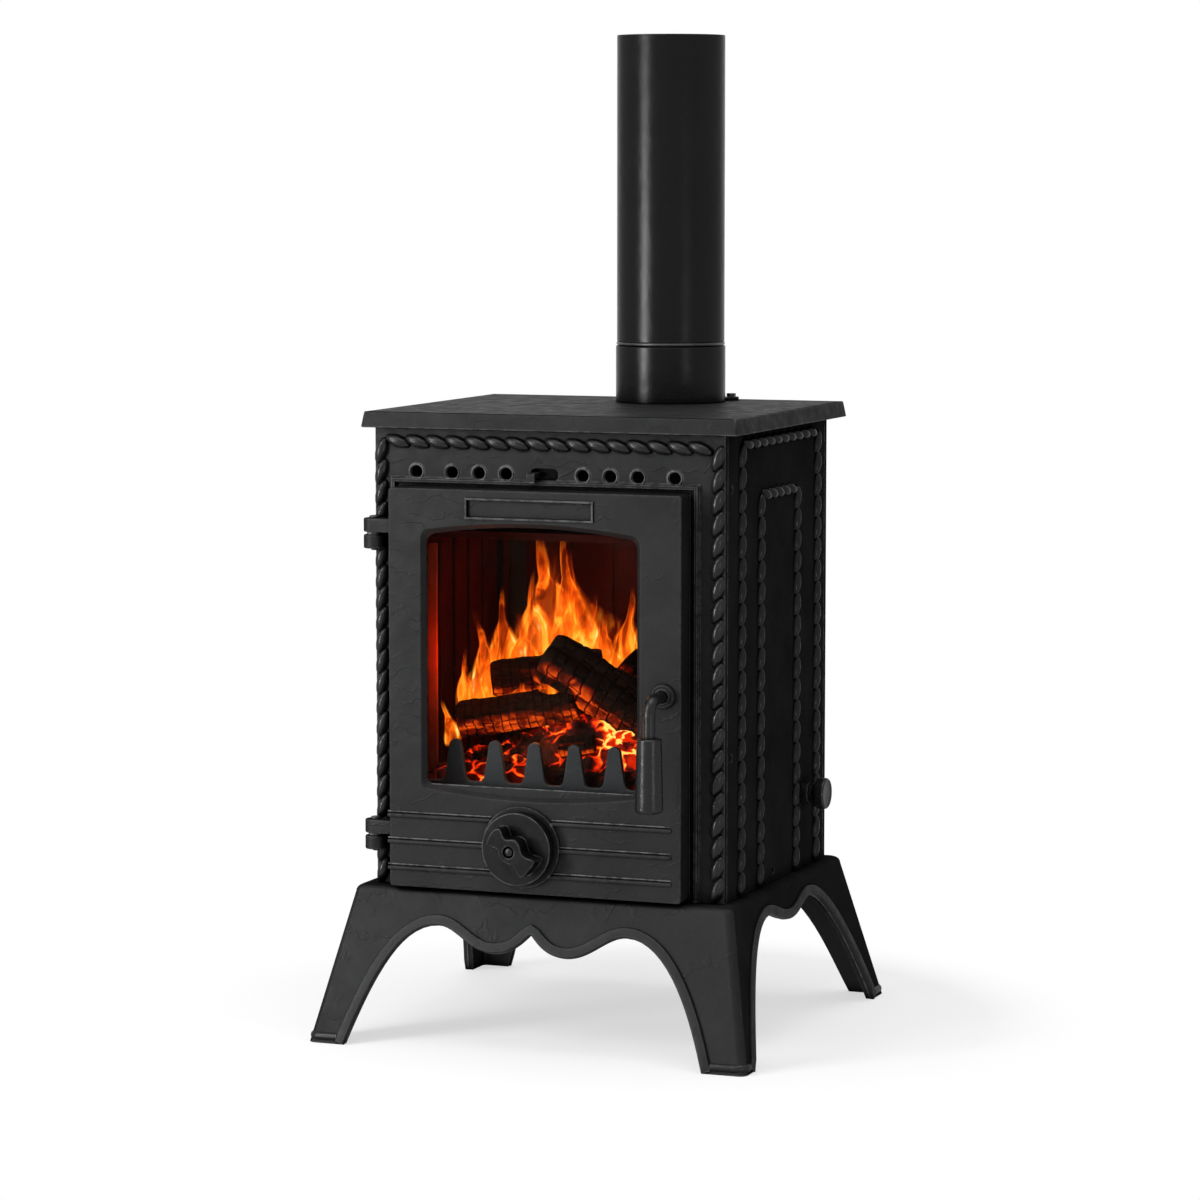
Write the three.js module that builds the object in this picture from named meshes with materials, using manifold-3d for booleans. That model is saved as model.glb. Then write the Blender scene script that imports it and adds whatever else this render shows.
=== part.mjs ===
// Small cast iron wood stove on a splayed leg frame, with a glazed door and a round flue pipe.
// Millimetres, +Z up, the front faces -Y. The floor is z = 0 and the origin is under the middle of the
// whole.
import * as THREE from 'three';
import { mergeVertices } from 'three/addons/utils/BufferGeometryUtils.js';
import Module from 'manifold-3d';

const wasm = await Module();
wasm.setup();

// Driving dimensions
const bodyWidth = 416;
const bodyDepth = 355;
const bodyHeight = 515;
const legHeight = 173;
const wall = 8;
const fluePipeDiameter = 125;
const fluePipeLength = 352.5;
const gap = 0.3;
const overrun = 5;
const castDraft = 2;

// Leg frame
const shoulderSide = 18;
const shoulderFront = 26;
const shoulderBack = 13;
const shoulderRadius = 8;
const splaySide = 34.3;
const splayFront = 52.7;
const splayBack = 58.7;
const legCornerRadius = 9;
const legWall = 9;
const deckLedgeX = 46;
const deckLedgeY = 44;
const lipWidth = 11;
const lipRaise = 2.2;
const toeBeadLow = 2;
const toeBeadHigh = 12;
const toeBeadRaise = 2.2;
const archFootFront = 213;
const archApexFront = 112;
const archBridge = 38;
const archLobeFront = 44;
const archLobeDrop = 64;
const archCuspDrop = 41.5;
const archShift = -6;
const archFootRear = 219;
const archFootSide = 216;
const archApexSide = 71.5;
const archBridgeSide = 25;
const archLobeDropSide = 39.5;
const archShiftSide = -21.5;
const archFootShiftShare = 0.5;
const legCurveFrontShares = [[0.92, 0.37], [0.775, 1]];
const legCurveRearShares = [[0.88, 0.47], [0.8, 1]];
const legCurveSideShares = [[0.856, 0.405], [0.616, 1]];
const archSteps = 5;

// Rope mouldings
const ropeRadius = 7.3;
const ropePitch = 23.4;
const sideRopePitch = 24.6;
const ropeRowPitch = 29;
const ropeValleyShare = 0.6;
const ropeShoulderShares = [0, 0.24, 0.76];
const ropeBeadShares = [0, 0.5];
const ropeLeanShare = -0.62;
const ropeRoot = 1;
const ropeInset = 8.3;
const frontRopeTopDrop = 14.5;
const sideRopeTopDrop = 13;
const sideRopeFrontInset = 49;
const sideRopeBackInset = 41;
const sidePanelHalf = 63.5;
const sidePanelDrop = 73;
const ropeFootGap = 3;

// Door and its opening
const doorCentre = -4.5;
const doorWidth = 347;
const doorTopSpace = 64;
const doorLift = 3;
const doorDepth = 29;
const doorStandoff = 4.5;
const doorFace = 8;
const doorRim = 6;
const doorFlangeWidth = 9.5;
const doorFlangeDepth = 6;
const doorChamfer = 2;
const doorCornerRadius = 4;
const windowWidth = 250;
const windowShift = -4.5;
const windowRaise = 109;
const windowHeadSpace = 41;
const windowArch = 8.5;
const windowSag = 10;
const windowTopRadius = 14;
const windowFootRadius = 7;
const windowChamfer = 4;
const plateFieldWidth = 152;
const plateFieldHeight = 23.5;
const plateFieldDrop = 9;
const plateRim = 2.4;
const plateRimRaise = 1.6;
const beadCount = 3;
const beadLowRaise = 21;
const beadPitch = 29.7;
const beadHeight = 5;
const beadRaise = 3;
const beadEndInset = 11;
const bossRadius = 46;
const bossRaise = 3;
const airPortRadius = 6;
const airPortCircle = 24;
const airPortCount = 6;
const sealWidth = 7;
const surroundGap = 4.5;
const surroundWidth = 5.5;
const surroundRaise = 5;

// Hinges
const hingePinX = 25;
const hingePinForward = 14.5;
const hingeUpperDrop = 53;
const hingeLowerRaise = 55;
const knuckleRadius = 12;
const knuckleHeight = 15.5;
const hingeWasherHeight = 3;
const hingeWasherRadius = 8.5;
const pinRadius = 4;
const pinHeadRadius = 6;
const pinHeadHeight = 2.5;
const pinTail = 2.5;

// Glass and its clips
const glassLap = 9;
const glassThickness = 4;
const clipThickness = 3;
const clipHeight = 18;
const clipLap = 5;
const clipScrewInset = 22;
const clipScrewRadius = 2.5;
const clipHeadRadius = 4.8;
const clipHeadHeight = 2.6;
const clipPillarRadius = 5.5;

// Door handle and latch
const handleInset = 20.5;
const handleRaise = 228.4;
const handleStandoff = 44;
const handleRodRadius = 6.6;
const handleBendRadius = 17;
const handleShaftRadius = 4.5;
const handleShaftTail = 2;
const handleBossRadius = 11;
const gripTopDrop = 40.5;
const gripLength = 81.5;
const gripTopRadius = 13.6;
const gripFootRadius = 15.4;
const gripEdge = 2;
const gripBoreClear = 0.4;
const escutcheonRadius = 14;
const escutcheonHeight = 5;
const tongueLength = 30;
const tongueHalfWidth = 4;
const tongueThickness = 5;
const tongueEyeWall = 3;
const latchNutRadius = 6;
const latchNutHeight = 5;
const keeperThickness = 3;
const keeperWidth = 13;
const keeperHeight = 26;
const keeperRaise = 10;

// Air spinner
const spinnerShift = -14;
const spinnerRise = 1.8;
const spinnerRadius = 41.5;
const spinnerThickness = 8;
const spinnerEdge = 1.5;
const spinnerOpening = 6.5;
const spinnerGripHeight = 22;
const spinnerGripReach = 32;
const spinnerGripShares = [[-0.09, 0.45], [-0.22, 0.61], [-0.34, 0.79], [-0.46, 0.86], [-0.62, 0.79],
  [-0.81, 0.59], [-0.92, 0.38], [-0.88, 0.28], [-0.67, 0.19], [-0.49, 0.07], [-0.42, -0.1], [-0.35, -0.3],
  [-0.2, -0.41]];
const spinnerBoreRadius = 9;
const spinnerBoreDepth = 13;
const studRadius = 4;
const studNutRadius = 8;
const studNutHeight = 6;
const washerRadius = 8;
const washerThickness = 2;

// Vent holes, air slider and its rails
const ventRadius = 6.5;
const ventFlare = 1.6;
const ventDrop = 48;
const ventOffsets = [45.5, 78, 110.5, 153.5];
const ventCentre = -4;
const ventSlotLength = 32;
const ventSlotHeight = 13;
const sliderThickness = 3;
const sliderHeight = 28;
const sliderHalfLength = 170;
const leverWidth = 10;
const leverHeight = 6;
const leverReach = 17;
const leverTip = 5;
const railThickness = 3;
const railHeight = 6;
const railLap = 4;

// Top plate, lid and flue
const plateThickness = 18;
const plateSide = 15.4;
const plateFront = 6.5;
const plateBack = 28.5;
const plateDraft = 3.5;
const plateEdge = 1;
const fluePlaceX = 34.3;
const fluePlaceY = 124;
const pipeWall = 1.8;
const collarWall = 5;
const collarProud = 1.2;
const collarHeight = 65;
const collarSpigotHeight = 30;
const collarBeadHeight = 5;
const collarEarReach = 85;
const collarEarRadius = 9;
const collarEarThickness = 4;
const collarEarTurns = [41, 139];
const collarBoltReach = 76;
const boltRadius = 3;
const boltHeadRadius = 5.5;
const boltHeadHeight = 3.5;
const lidRadius = 62;
const lidThickness = 8;
const lidStep = 7;
const lidPlaceX = -44;
const lidPlaceY = -14;
const locatorWidth = 6;
const locatorDepth = 5;

// Tie rods that clamp the plates
const tieInset = 20;
const tieRadius = 4;
const tieBossRadius = 9;
const tieBossDepth = 12;
const tieBossFloor = 2;
const tieHeadRadius = 8;
const tieHeadHeight = 7;

// Inside
const basePlateThickness = 8;
const hearthHeight = 107;
const hearthThickness = 8;
const hearthLedge = 6;
const grateHalfX = 96;
const grateHalfY = 62;
const grateSlot = 11;
const gratePitch = 24;
const grateRail = 7;
const riddleThickness = 7;
const riddleHang = 3;
const riddleTravel = 25;
const riddleEarWidth = 12;
const riddleLugDepth = 22;
const riddleRodRadius = 4;
const riddleRodY = 96;
const riddleRodDrop = 20.5;
const riddleNutRadius = 7;
const riddleNutHeight = 5;
const bushRadius = 12;
const bushHeight = 9;
const bushSpigotRadius = 8;
const knobRadius = 18;
const knobNeckRadius = 11;
const knobLength = 20;
const linerThickness = 12;
const smokeSpace = 128;
const linerFrontSpace = 38;
const linerRib = 4;
const linerRibCount = 5;
const baffleThickness = 8;
const baffleFrontSpace = 62;
const panWidth = 262;
const panDepth = 270;
const panHeight = 52;
const panWall = 2;
const panShiftX = -4;
const panShiftY = -10;
const panGripWidth = 60;
const panGripReach = 14;
const retainerThickness = 6;
const retainerSetback = 3;
const retainerHalfLength = 148;
const retainerBarHeight = 12;
const toothCount = 5;
const toothPitch = 47.7;
const toothHeight = 47;
const toothBase = 25;
const toothTip = 12;
const toothShift = -21.5;
const bedSideSpace = 20;
const bedFrontSpace = 2;
const bedRearSpace = 54;
const bedDepth = 20;
const bedMound = 62;
const bedMoundShares = { x: 0.03, y: -0.47, reachX: 0.565, reachY: 0.27 };
const bedColumns = 10;
const bedRows = 6;
const bedEdgeShare = 0.3;
const logEnd = 3;
const logTwist = 25;
const logSectionShares = [1, 0.93, 1.05, 0.9, 1, 1.04, 0.92, 1.03];
const logEndShare = 0.84;
const logTaperShares = [1.03, 0.95, 1.02];
// Both ends and the radius of each log. Shares of the bed's half length, but y is a share of the inner
// half depth.
const fireLogShares = [
  { name: 'large', from: [-0.25, -0.543, 0.855], to: [0.738, -0.366, 0.296], radius: 0.152 },
  { name: 'lower', from: [-0.81, -0.696, 0.427], to: [0, -0.519, 0.57], radius: 0.113 },
  { name: 'middle', from: [-0.583, -0.507, 0.665], to: [0.119, -0.248, 0.724], radius: 0.125 },
  { name: 'rear', from: [0.155, -0.03, 0.808], to: [0.833, 0.118, 0.185], radius: 0.113 },
  { name: 'stub', from: [-0.036, -0.755, 0.302], to: [0.202, -0.72, 0.332], radius: 0.068 },
];
const screwDimpleRadius = 4;
const screwDimpleDepth = 2.5;
const screwDimpleInset = 21;
const screwDimpleRaise = 159;
const screwDimpleDrop = 60;
const backRibWidth = 10;
const backRibRaise = 5;
const backRibInset = 60;

// Facet counts
const boltSides = 6;
const smallSides = 8;
const ventSides = 10;
const roundSides = 12;
const wideSides = 20;
const frontRopeArc = 3;
const sideRopeArc = 3;
const tubeSides = 8;
const tubeSteps = 12;
const windowSteps = 4;
const toothSteps = 4;

// Levels and faces that follow from the sizes above
const halfWidth = bodyWidth / 2;
const halfDepth = bodyDepth / 2;
const archApexHeight = legHeight - archBridge;
const archLobeHeight = legHeight - archLobeDrop;
const archCuspHeight = legHeight - archCuspDrop;
const archApexHeightSide = legHeight - archBridgeSide;
const archLobeHeightSide = legHeight - archLobeDropSide;
const doorHeight = bodyHeight - doorLift - doorTopSpace;
const windowHeight = doorHeight - windowRaise - windowHeadSpace;
const hingeUpperRaise = doorHeight - hingeUpperDrop;
const linerHeight = bodyHeight - hearthHeight - smokeSpace;
const screwDimpleRaises = [screwDimpleRaise, bodyHeight - screwDimpleDrop];
const deckZ = legHeight;
const bodyBottom = deckZ + gap;
const bodyTop = legHeight + bodyHeight;
const frontY = -halfDepth;
const frontInnerY = frontY + wall;
const doorBackY = frontY - doorStandoff;
const doorFrontY = doorBackY - doorDepth;
const doorLeft = doorCentre - doorWidth / 2;
const doorRight = doorCentre + doorWidth / 2;
const doorBottom = legHeight + doorLift;
const doorTop = doorBottom + doorHeight;
const openLeft = doorLeft + doorFlangeWidth;
const openRight = doorRight - doorFlangeWidth;
const openBottom = doorBottom + doorFlangeWidth;
const openTop = doorTop - doorFlangeWidth;
const windowX = doorCentre + windowShift;
const windowBottom = doorBottom + windowRaise;
const windowTop = windowBottom + windowHeight;
const pinX = doorLeft - hingePinX;
const pinY = frontY - hingePinForward;
const handleX = doorRight - handleInset;
const handleZ = doorBottom + handleRaise;
const spinnerX = doorCentre + spinnerShift;
const spinnerZ = doorBottom + beadLowRaise + beadPitch + spinnerRise;
const ventZ = bodyTop - ventDrop;
const plateBottom = bodyTop + gap;
const plateTop = plateBottom + plateThickness;
const pipeRadius = fluePipeDiameter / 2;
const hearthTop = legHeight + hearthHeight;
const hearthBottom = hearthTop - hearthThickness;
const innerX = halfWidth - wall;
const innerY = halfDepth - wall;
const riddleTop = hearthBottom - gap;
const riddleBottom = riddleTop - riddleThickness;
const riddleRodZ = hearthTop - riddleRodDrop;
const linerTop = hearthTop + gap + linerHeight;
const bedHalfLength = innerX - linerThickness - bedSideSpace;
const baseTop = deckZ + gap + basePlateThickness;

// Shape helpers

// Closed three.js geometry as a solid that can be joined and cut.
function solid(geometry) {
  const plain = geometry.clone();
  plain.deleteAttribute('normal');
  plain.deleteAttribute('uv');
  const merged = mergeVertices(plain, gap / 1000);
  const mesh = new wasm.Mesh({
    numProp: 3,
    vertProperties: new Float32Array(merged.attributes.position.array),
    triVerts: new Uint32Array(merged.index.array),
  });
  return new wasm.Manifold(mesh);
}

function block(x0, x1, y0, y1, z0, z1) {
  const geometry = new THREE.BoxGeometry(x1 - x0, y1 - y0, z1 - z0);
  geometry.translate((x0 + x1) / 2, (y0 + y1) / 2, (z0 + z1) / 2);
  return solid(geometry);
}

const toX = new THREE.Matrix4().makeBasis(
  new THREE.Vector3(0, 1, 0), new THREE.Vector3(0, 0, 1), new THREE.Vector3(1, 0, 0));
const toY = new THREE.Matrix4().makeBasis(
  new THREE.Vector3(1, 0, 0), new THREE.Vector3(0, 0, 1), new THREE.Vector3(0, -1, 0));

// Revolved profile of [radius, height] pairs, about an axis along x, y or z. Heights run along that axis.
function turned(axis, profile, place, sides) {
  const points = profile.map(([radius, height]) => new THREE.Vector2(radius, height));
  const geometry = new THREE.LatheGeometry(points, sides);
  geometry.rotateX(Math.PI / 2);
  if (axis === 'x') geometry.applyMatrix4(toX);
  if (axis === 'y') geometry.rotateX(-Math.PI / 2);
  geometry.translate(...place);
  return solid(geometry);
}

function rod(axis, radius, from, to, place, sides) {
  const profile = [[0, from], [radius, from], [radius, to], [0, to]];
  return turned(axis, profile, place, sides);
}

// Radius of a faceted bore whose flats clear a pin of the given radius at every turn.
const turningBore = (radius, sides) => (radius + gap) / Math.cos(Math.PI / sides);

// Flat outline of [u, v] points pushed from one level to another.
function outlineShape(points, holes = []) {
  const shape = new THREE.Shape(points.map(([u, v]) => new THREE.Vector2(u, v)));
  for (const hole of holes) shape.holes.push(new THREE.Path(hole.map(([u, v]) => new THREE.Vector2(u, v))));
  return shape;
}

function prism(axis, shape, from, to, steps = archSteps) {
  const settings = { depth: to - from, bevelEnabled: false, curveSegments: steps };
  const geometry = new THREE.ExtrudeGeometry(shape, settings);
  if (axis === 'z') geometry.translate(0, 0, from);
  if (axis === 'x') geometry.applyMatrix4(toX).translate(from, 0, 0);
  if (axis === 'y') geometry.applyMatrix4(toY).translate(0, to, 0);
  return solid(geometry);
}

// Closed skin over rings of points, each ring with the same number of points.
function loft(rings, flat) {
  const count = rings[0].length;
  const positions = rings.flat().flatMap((point) => [point.x, point.y, point.z]);
  const faces = [];
  for (let ring = 0; ring + 1 < rings.length; ring += 1) {
    for (let step = 0; step < count; step += 1) {
      const next = (step + 1) % count;
      const low = ring * count;
      const high = low + count;
      faces.push(low + step, low + next, high + next, low + step, high + next, high + step);
    }
  }
  const last = (rings.length - 1) * count;
  for (const [a, b, c] of THREE.ShapeUtils.triangulateShape(rings[0].map(flat), [])) {
    faces.push(a, c, b);
    faces.push(last + a, last + b, last + c);
  }
  const geometry = new THREE.BufferGeometry();
  geometry.setAttribute('position', new THREE.Float32BufferAttribute(positions, 3));
  geometry.setIndex(facesOutward(positions, faces));
  return solid(geometry);
}

function facesOutward(positions, faces) {
  const at = (index) => new THREE.Vector3().fromArray(positions, index * 3);
  let volume = 0;
  for (let i = 0; i < faces.length; i += 3) {
    volume += at(faces[i]).dot(at(faces[i + 1]).cross(at(faces[i + 2])));
  }
  if (volume > 0) return faces;
  const turnedFaces = [];
  for (let i = 0; i < faces.length; i += 3) turnedFaces.push(faces[i], faces[i + 2], faces[i + 1]);
  return turnedFaces;
}

const flatXY = (point) => new THREE.Vector2(point.x, point.y);
const flatXZ = (point) => new THREE.Vector2(point.x, point.z);

// Rectangle with round corners, as [u, v] points.
function roundedRect(u0, u1, v0, v1, radius, steps) {
  const points = [];
  const corners = [[u1 - radius, v0 + radius, -90], [u1 - radius, v1 - radius, 0],
    [u0 + radius, v1 - radius, 90], [u0 + radius, v0 + radius, 180]];
  for (const [u, v, start] of corners) {
    for (let step = 0; step <= steps; step += 1) {
      const angle = THREE.MathUtils.degToRad(start + (90 * step) / steps);
      points.push([u + radius * Math.cos(angle), v + radius * Math.sin(angle)]);
    }
  }
  return points;
}

const circlePoints = (u, v, radius, sides, turn = 0) => Array.from({ length: sides }, (_, step) => {
  const angle = THREE.MathUtils.degToRad(turn) + (2 * Math.PI * step) / sides;
  return [u + radius * Math.cos(angle), v + radius * Math.sin(angle)];
});

function join(...pieces) {
  return pieces.flat().reduce((whole, piece) => whole.add(piece));
}

function carve(whole, ...cutters) {
  return cutters.flat().reduce((rest, cutter) => rest.subtract(cutter), whole);
}

const materials = {
  iron: new THREE.MeshStandardMaterial({ color: 0x2e2f30, roughness: 0.78, metalness: 0.25 }),
  flue: new THREE.MeshStandardMaterial({ color: 0x161617, roughness: 0.42, metalness: 0.2 }),
  steel: new THREE.MeshStandardMaterial({ color: 0x3a3a3b, roughness: 0.45, metalness: 0.9 }),
  liner: new THREE.MeshStandardMaterial({ color: 0x3a2c26, roughness: 0.9, metalness: 0.1 }),
  glass: new THREE.MeshStandardMaterial({
    color: 0xb8a99a, roughness: 0.05, metalness: 0, transparent: true, opacity: 0.3,
  }),
  wood: new THREE.MeshStandardMaterial({ color: 0x24160f, roughness: 0.9, metalness: 0 }),
  ember: new THREE.MeshStandardMaterial({ color: 0x3c140a, roughness: 0.95, metalness: 0 }),
  rope: new THREE.MeshStandardMaterial({ color: 0x1d1c1b, roughness: 0.95, metalness: 0 }),
};

const stove = new THREE.Group();

function addPiece(name, piece, material) {
  const data = piece.getMesh();
  const geometry = new THREE.BufferGeometry();
  geometry.setAttribute('position', new THREE.Float32BufferAttribute(data.vertProperties, 3));
  geometry.setIndex(Array.from(data.triVerts));
  geometry.computeVertexNormals();
  const mesh = new THREE.Mesh(geometry, material.clone());
  mesh.name = name;
  stove.add(mesh);
}

// Rope moulding

// A half-round strip of twisted lobes. It starts at `start`, runs along `along`, and stands off the plate
// along `out`. Each ring leans along the strip, which gives the lay of the rope.
function ropeStrip(start, along, out, length, pitch, shares, arcSteps) {
  const across = new THREE.Vector3().crossVectors(out, along);
  const lobes = Math.max(2, Math.round(length / pitch));
  const step = length / lobes;
  const rings = [];
  for (let lobe = 0; lobe <= lobes; lobe += 1) {
    for (const share of shares) {
      if (lobe === lobes && share > 0) continue;
      const swell = share === 0 ? ropeValleyShare : 1;
      rings.push(ropeRing(start, along, out, across, (lobe + share) * step, ropeRadius * swell, arcSteps));
    }
  }
  const flat = (point) => new THREE.Vector2(point.dot(across), point.dot(out));
  return loft(rings, flat);
}

// Half-round section of the rope, with its two feet sunk into the plate.
function ropeRing(start, along, out, across, travel, radius, arcSteps) {
  const ring = [];
  const put = (sideways, height) => {
    const lean = ropeLeanShare * sideways;
    ring.push(start.clone().addScaledVector(along, travel + lean)
      .addScaledVector(across, sideways).addScaledVector(out, height));
  };
  put(radius, -ropeRoot);
  for (let step = 0; step <= arcSteps; step += 1) {
    const angle = (Math.PI * step) / arcSteps;
    put(radius * Math.cos(angle), radius * Math.sin(angle));
  }
  put(-radius, -ropeRoot);
  return ring;
}

const up = new THREE.Vector3(0, 0, 1);
const right = new THREE.Vector3(1, 0, 0);
const back = new THREE.Vector3(0, 1, 0);
const forward = new THREE.Vector3(0, -1, 0);

// Leg frame

// Outline of the frame's wall at a height, grown outward by a named amount.
function legRing(z, grow, radius) {
  const lean = (deckZ - shoulderRadius - z) / (deckZ - shoulderRadius);
  const x = halfWidth + shoulderSide + splaySide * lean + grow;
  const front = -halfDepth - shoulderFront - splayFront * lean - grow;
  const rear = halfDepth + shoulderBack + splayBack * lean + grow;
  return roundedRect(-x, x, front, rear, radius, 3).map(([u, v]) => new THREE.Vector3(u, v, z));
}

function shoulderRings() {
  const rings = [];
  const steps = 3;
  for (let step = 1; step <= steps; step += 1) {
    const angle = (Math.PI / 2) * (step / steps);
    const inset = shoulderRadius * (1 - Math.cos(angle));
    const z = deckZ - shoulderRadius + shoulderRadius * Math.sin(angle);
    const ring = legRing(deckZ - shoulderRadius, -inset, legCornerRadius);
    rings.push(ring.map((point) => new THREE.Vector3(point.x, point.y, z)));
  }
  return rings;
}

// Half of a scalloped edge, from the foot up over the arch to the lobe and the middle.
function archHalf(side, edge) {
  const point = (u, v, moves) => new THREE.Vector2(side * u + moves * edge.shift, v);
  const [[firstU, firstV], [secondU, secondV]] = edge.shares;
  const { foot, apex, apexZ, lobe, lobeZ, middleZ } = edge;
  const leg = new THREE.CubicBezierCurve(point(foot, 0, archFootShiftShare),
    point(foot * firstU, apexZ * firstV, archFootShiftShare), point(foot * secondU, apexZ * secondV, 1),
    point(apex, apexZ, 1));
  const dip = new THREE.CubicBezierCurve(point(apex, apexZ, 1), point((2 * apex + lobe) / 3, apexZ, 1),
    point((apex + 2 * lobe) / 3 + (apex - lobe) / 12, lobeZ, 1), point(lobe, lobeZ, 1));
  const curves = [leg, dip];
  if (lobe > 0) {
    curves.push(new THREE.CubicBezierCurve(point(lobe, lobeZ, 1), point(lobe / 2, lobeZ, 1),
      point(lobe / 4, (lobeZ + middleZ) / 2, 1), point(0, middleZ, 1)));
  }
  const points = [point(foot, -overrun, archFootShiftShare)];
  for (const curve of curves) points.push(...curve.getPoints(archSteps).slice(points.length > 1 ? 1 : 0));
  return points;
}

function archEdge(edge) {
  return [...archHalf(1, edge), ...archHalf(-1, edge).reverse().slice(1)];
}

const frontArchEdge = archEdge({
  foot: archFootFront,
  apex: archApexFront,
  apexZ: archApexHeight,
  lobe: archLobeFront,
  lobeZ: archLobeHeight,
  middleZ: archCuspHeight,
  shift: archShift,
  shares: legCurveFrontShares,
});
const rearArchEdge = archEdge({
  foot: archFootRear,
  apex: archApexFront,
  apexZ: archApexHeight,
  lobe: archLobeFront,
  lobeZ: archLobeHeight,
  middleZ: archCuspHeight,
  shift: 0,
  shares: legCurveRearShares,
});
const sideArchEdge = archEdge({
  foot: archFootSide,
  apex: archApexSide,
  apexZ: archApexHeightSide,
  lobe: 0,
  lobeZ: archLobeHeightSide,
  middleZ: archLobeHeightSide,
  shift: archShiftSide,
  shares: legCurveSideShares,
});

// The same edge moved outward by a width, for the raised lip along it.
function widened(points, width) {
  return points.map((point, index) => {
    const before = points[Math.max(index - 1, 0)];
    const after = points[Math.min(index + 1, points.length - 1)];
    const run = new THREE.Vector2().subVectors(after, before).normalize();
    return new THREE.Vector2(point.x + run.y * width, point.y - run.x * width);
  });
}

function legFrame() {
  const reach = halfWidth + halfDepth;
  const frontArch = prism('y', new THREE.Shape(frontArchEdge), -reach, 0);
  const rearArch = prism('y', new THREE.Shape(rearArchEdge), 0, reach);
  const sideArch = prism('x', new THREE.Shape(sideArchEdge), -reach, reach);
  const frontBand = prism('y', new THREE.Shape(widened(frontArchEdge, lipWidth)), -reach, 0);
  const rearBand = prism('y', new THREE.Shape(widened(rearArchEdge, lipWidth)), 0, reach);
  const sideBand = prism('x', new THREE.Shape(widened(sideArchEdge, lipWidth)), -reach, reach);
  const shoulderZ = deckZ - shoulderRadius;
  const outer = loft([legRing(0, 0, legCornerRadius), legRing(shoulderZ, 0, legCornerRadius),
    ...shoulderRings()], flatXY);
  const inner = loft([legRing(-overrun, -legWall, legCornerRadius / 2),
    legRing(shoulderZ, -legWall, legCornerRadius / 2)], flatXY);
  const lipSkin = loft([legRing(0, lipRaise, legCornerRadius), legRing(shoulderZ, lipRaise,
      legCornerRadius)],
    flatXY);
  const beadSkin = loft([legRing(toeBeadLow, -legWall / 3, legCornerRadius),
    legRing(toeBeadLow + toeBeadRaise, toeBeadRaise, legCornerRadius),
    legRing(toeBeadHigh - toeBeadRaise, toeBeadRaise, legCornerRadius),
    legRing(toeBeadHigh, -legWall / 3, legCornerRadius)], flatXY);
  const lip = lipSkin.intersect(join(frontBand, rearBand, sideBand));
  const deckHole = block(-halfWidth + deckLedgeX, halfWidth - deckLedgeX, -halfDepth + deckLedgeY,
    halfDepth - deckLedgeY, shoulderZ - overrun, deckZ + overrun);
  const bolts = tiePlaces().map(([x, y]) => tieBore(x, y, shoulderZ - overrun, deckZ + overrun));
  return carve(join(outer, lip, beadSkin), inner, frontArch, rearArch, sideArch, deckHole, bolts);
}

function tiePlaces() {
  const x = halfWidth - tieInset;
  const y = halfDepth - tieInset;
  return [[-x, -y], [x, -y], [-x, y], [x, y]];
}

const tieBore = (x, y, from, to) => rod('z', tieRadius + gap, from, to, [x, y, 0], boltSides);

// Plates of the body

function ventPlaces() {
  return ventOffsets.flatMap((offset) => [ventCentre - offset, ventCentre + offset]);
}

function ventCutter(x) {
  const profile = [[0, frontY - overrun], [ventRadius + ventFlare, frontY - overrun],
    [ventRadius + ventFlare, frontY], [ventRadius, frontY + ventFlare], [ventRadius, frontInnerY + overrun],
    [0, frontInnerY + overrun]];
  return turned('y', profile, [x, 0, ventZ], ventSides);
}

function knuckle(side, z0, z1) {
  const barrel = rod('z', knuckleRadius, z0, z1, [pinX, pinY, 0], roundSides);
  const arm = side === 'door'
    ? block(pinX, doorLeft + doorRim / 2, pinY - knuckleRadius, pinY + knuckleRadius / 2, z0, z1)
    : block(pinX - knuckleRadius / 2, pinX + knuckleRadius / 2, pinY, frontY + wall / 2, z0, z1);
  return join(barrel, arm);
}

const hingeLevels = [legHeight + doorLift + hingeUpperRaise, legHeight + doorLift + hingeLowerRaise];
const pinBore = (z0, z1) => rod('z', turningBore(pinRadius, smallSides), z0 - overrun, z1 + overrun,
  [pinX, pinY, 0], smallSides);

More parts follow.
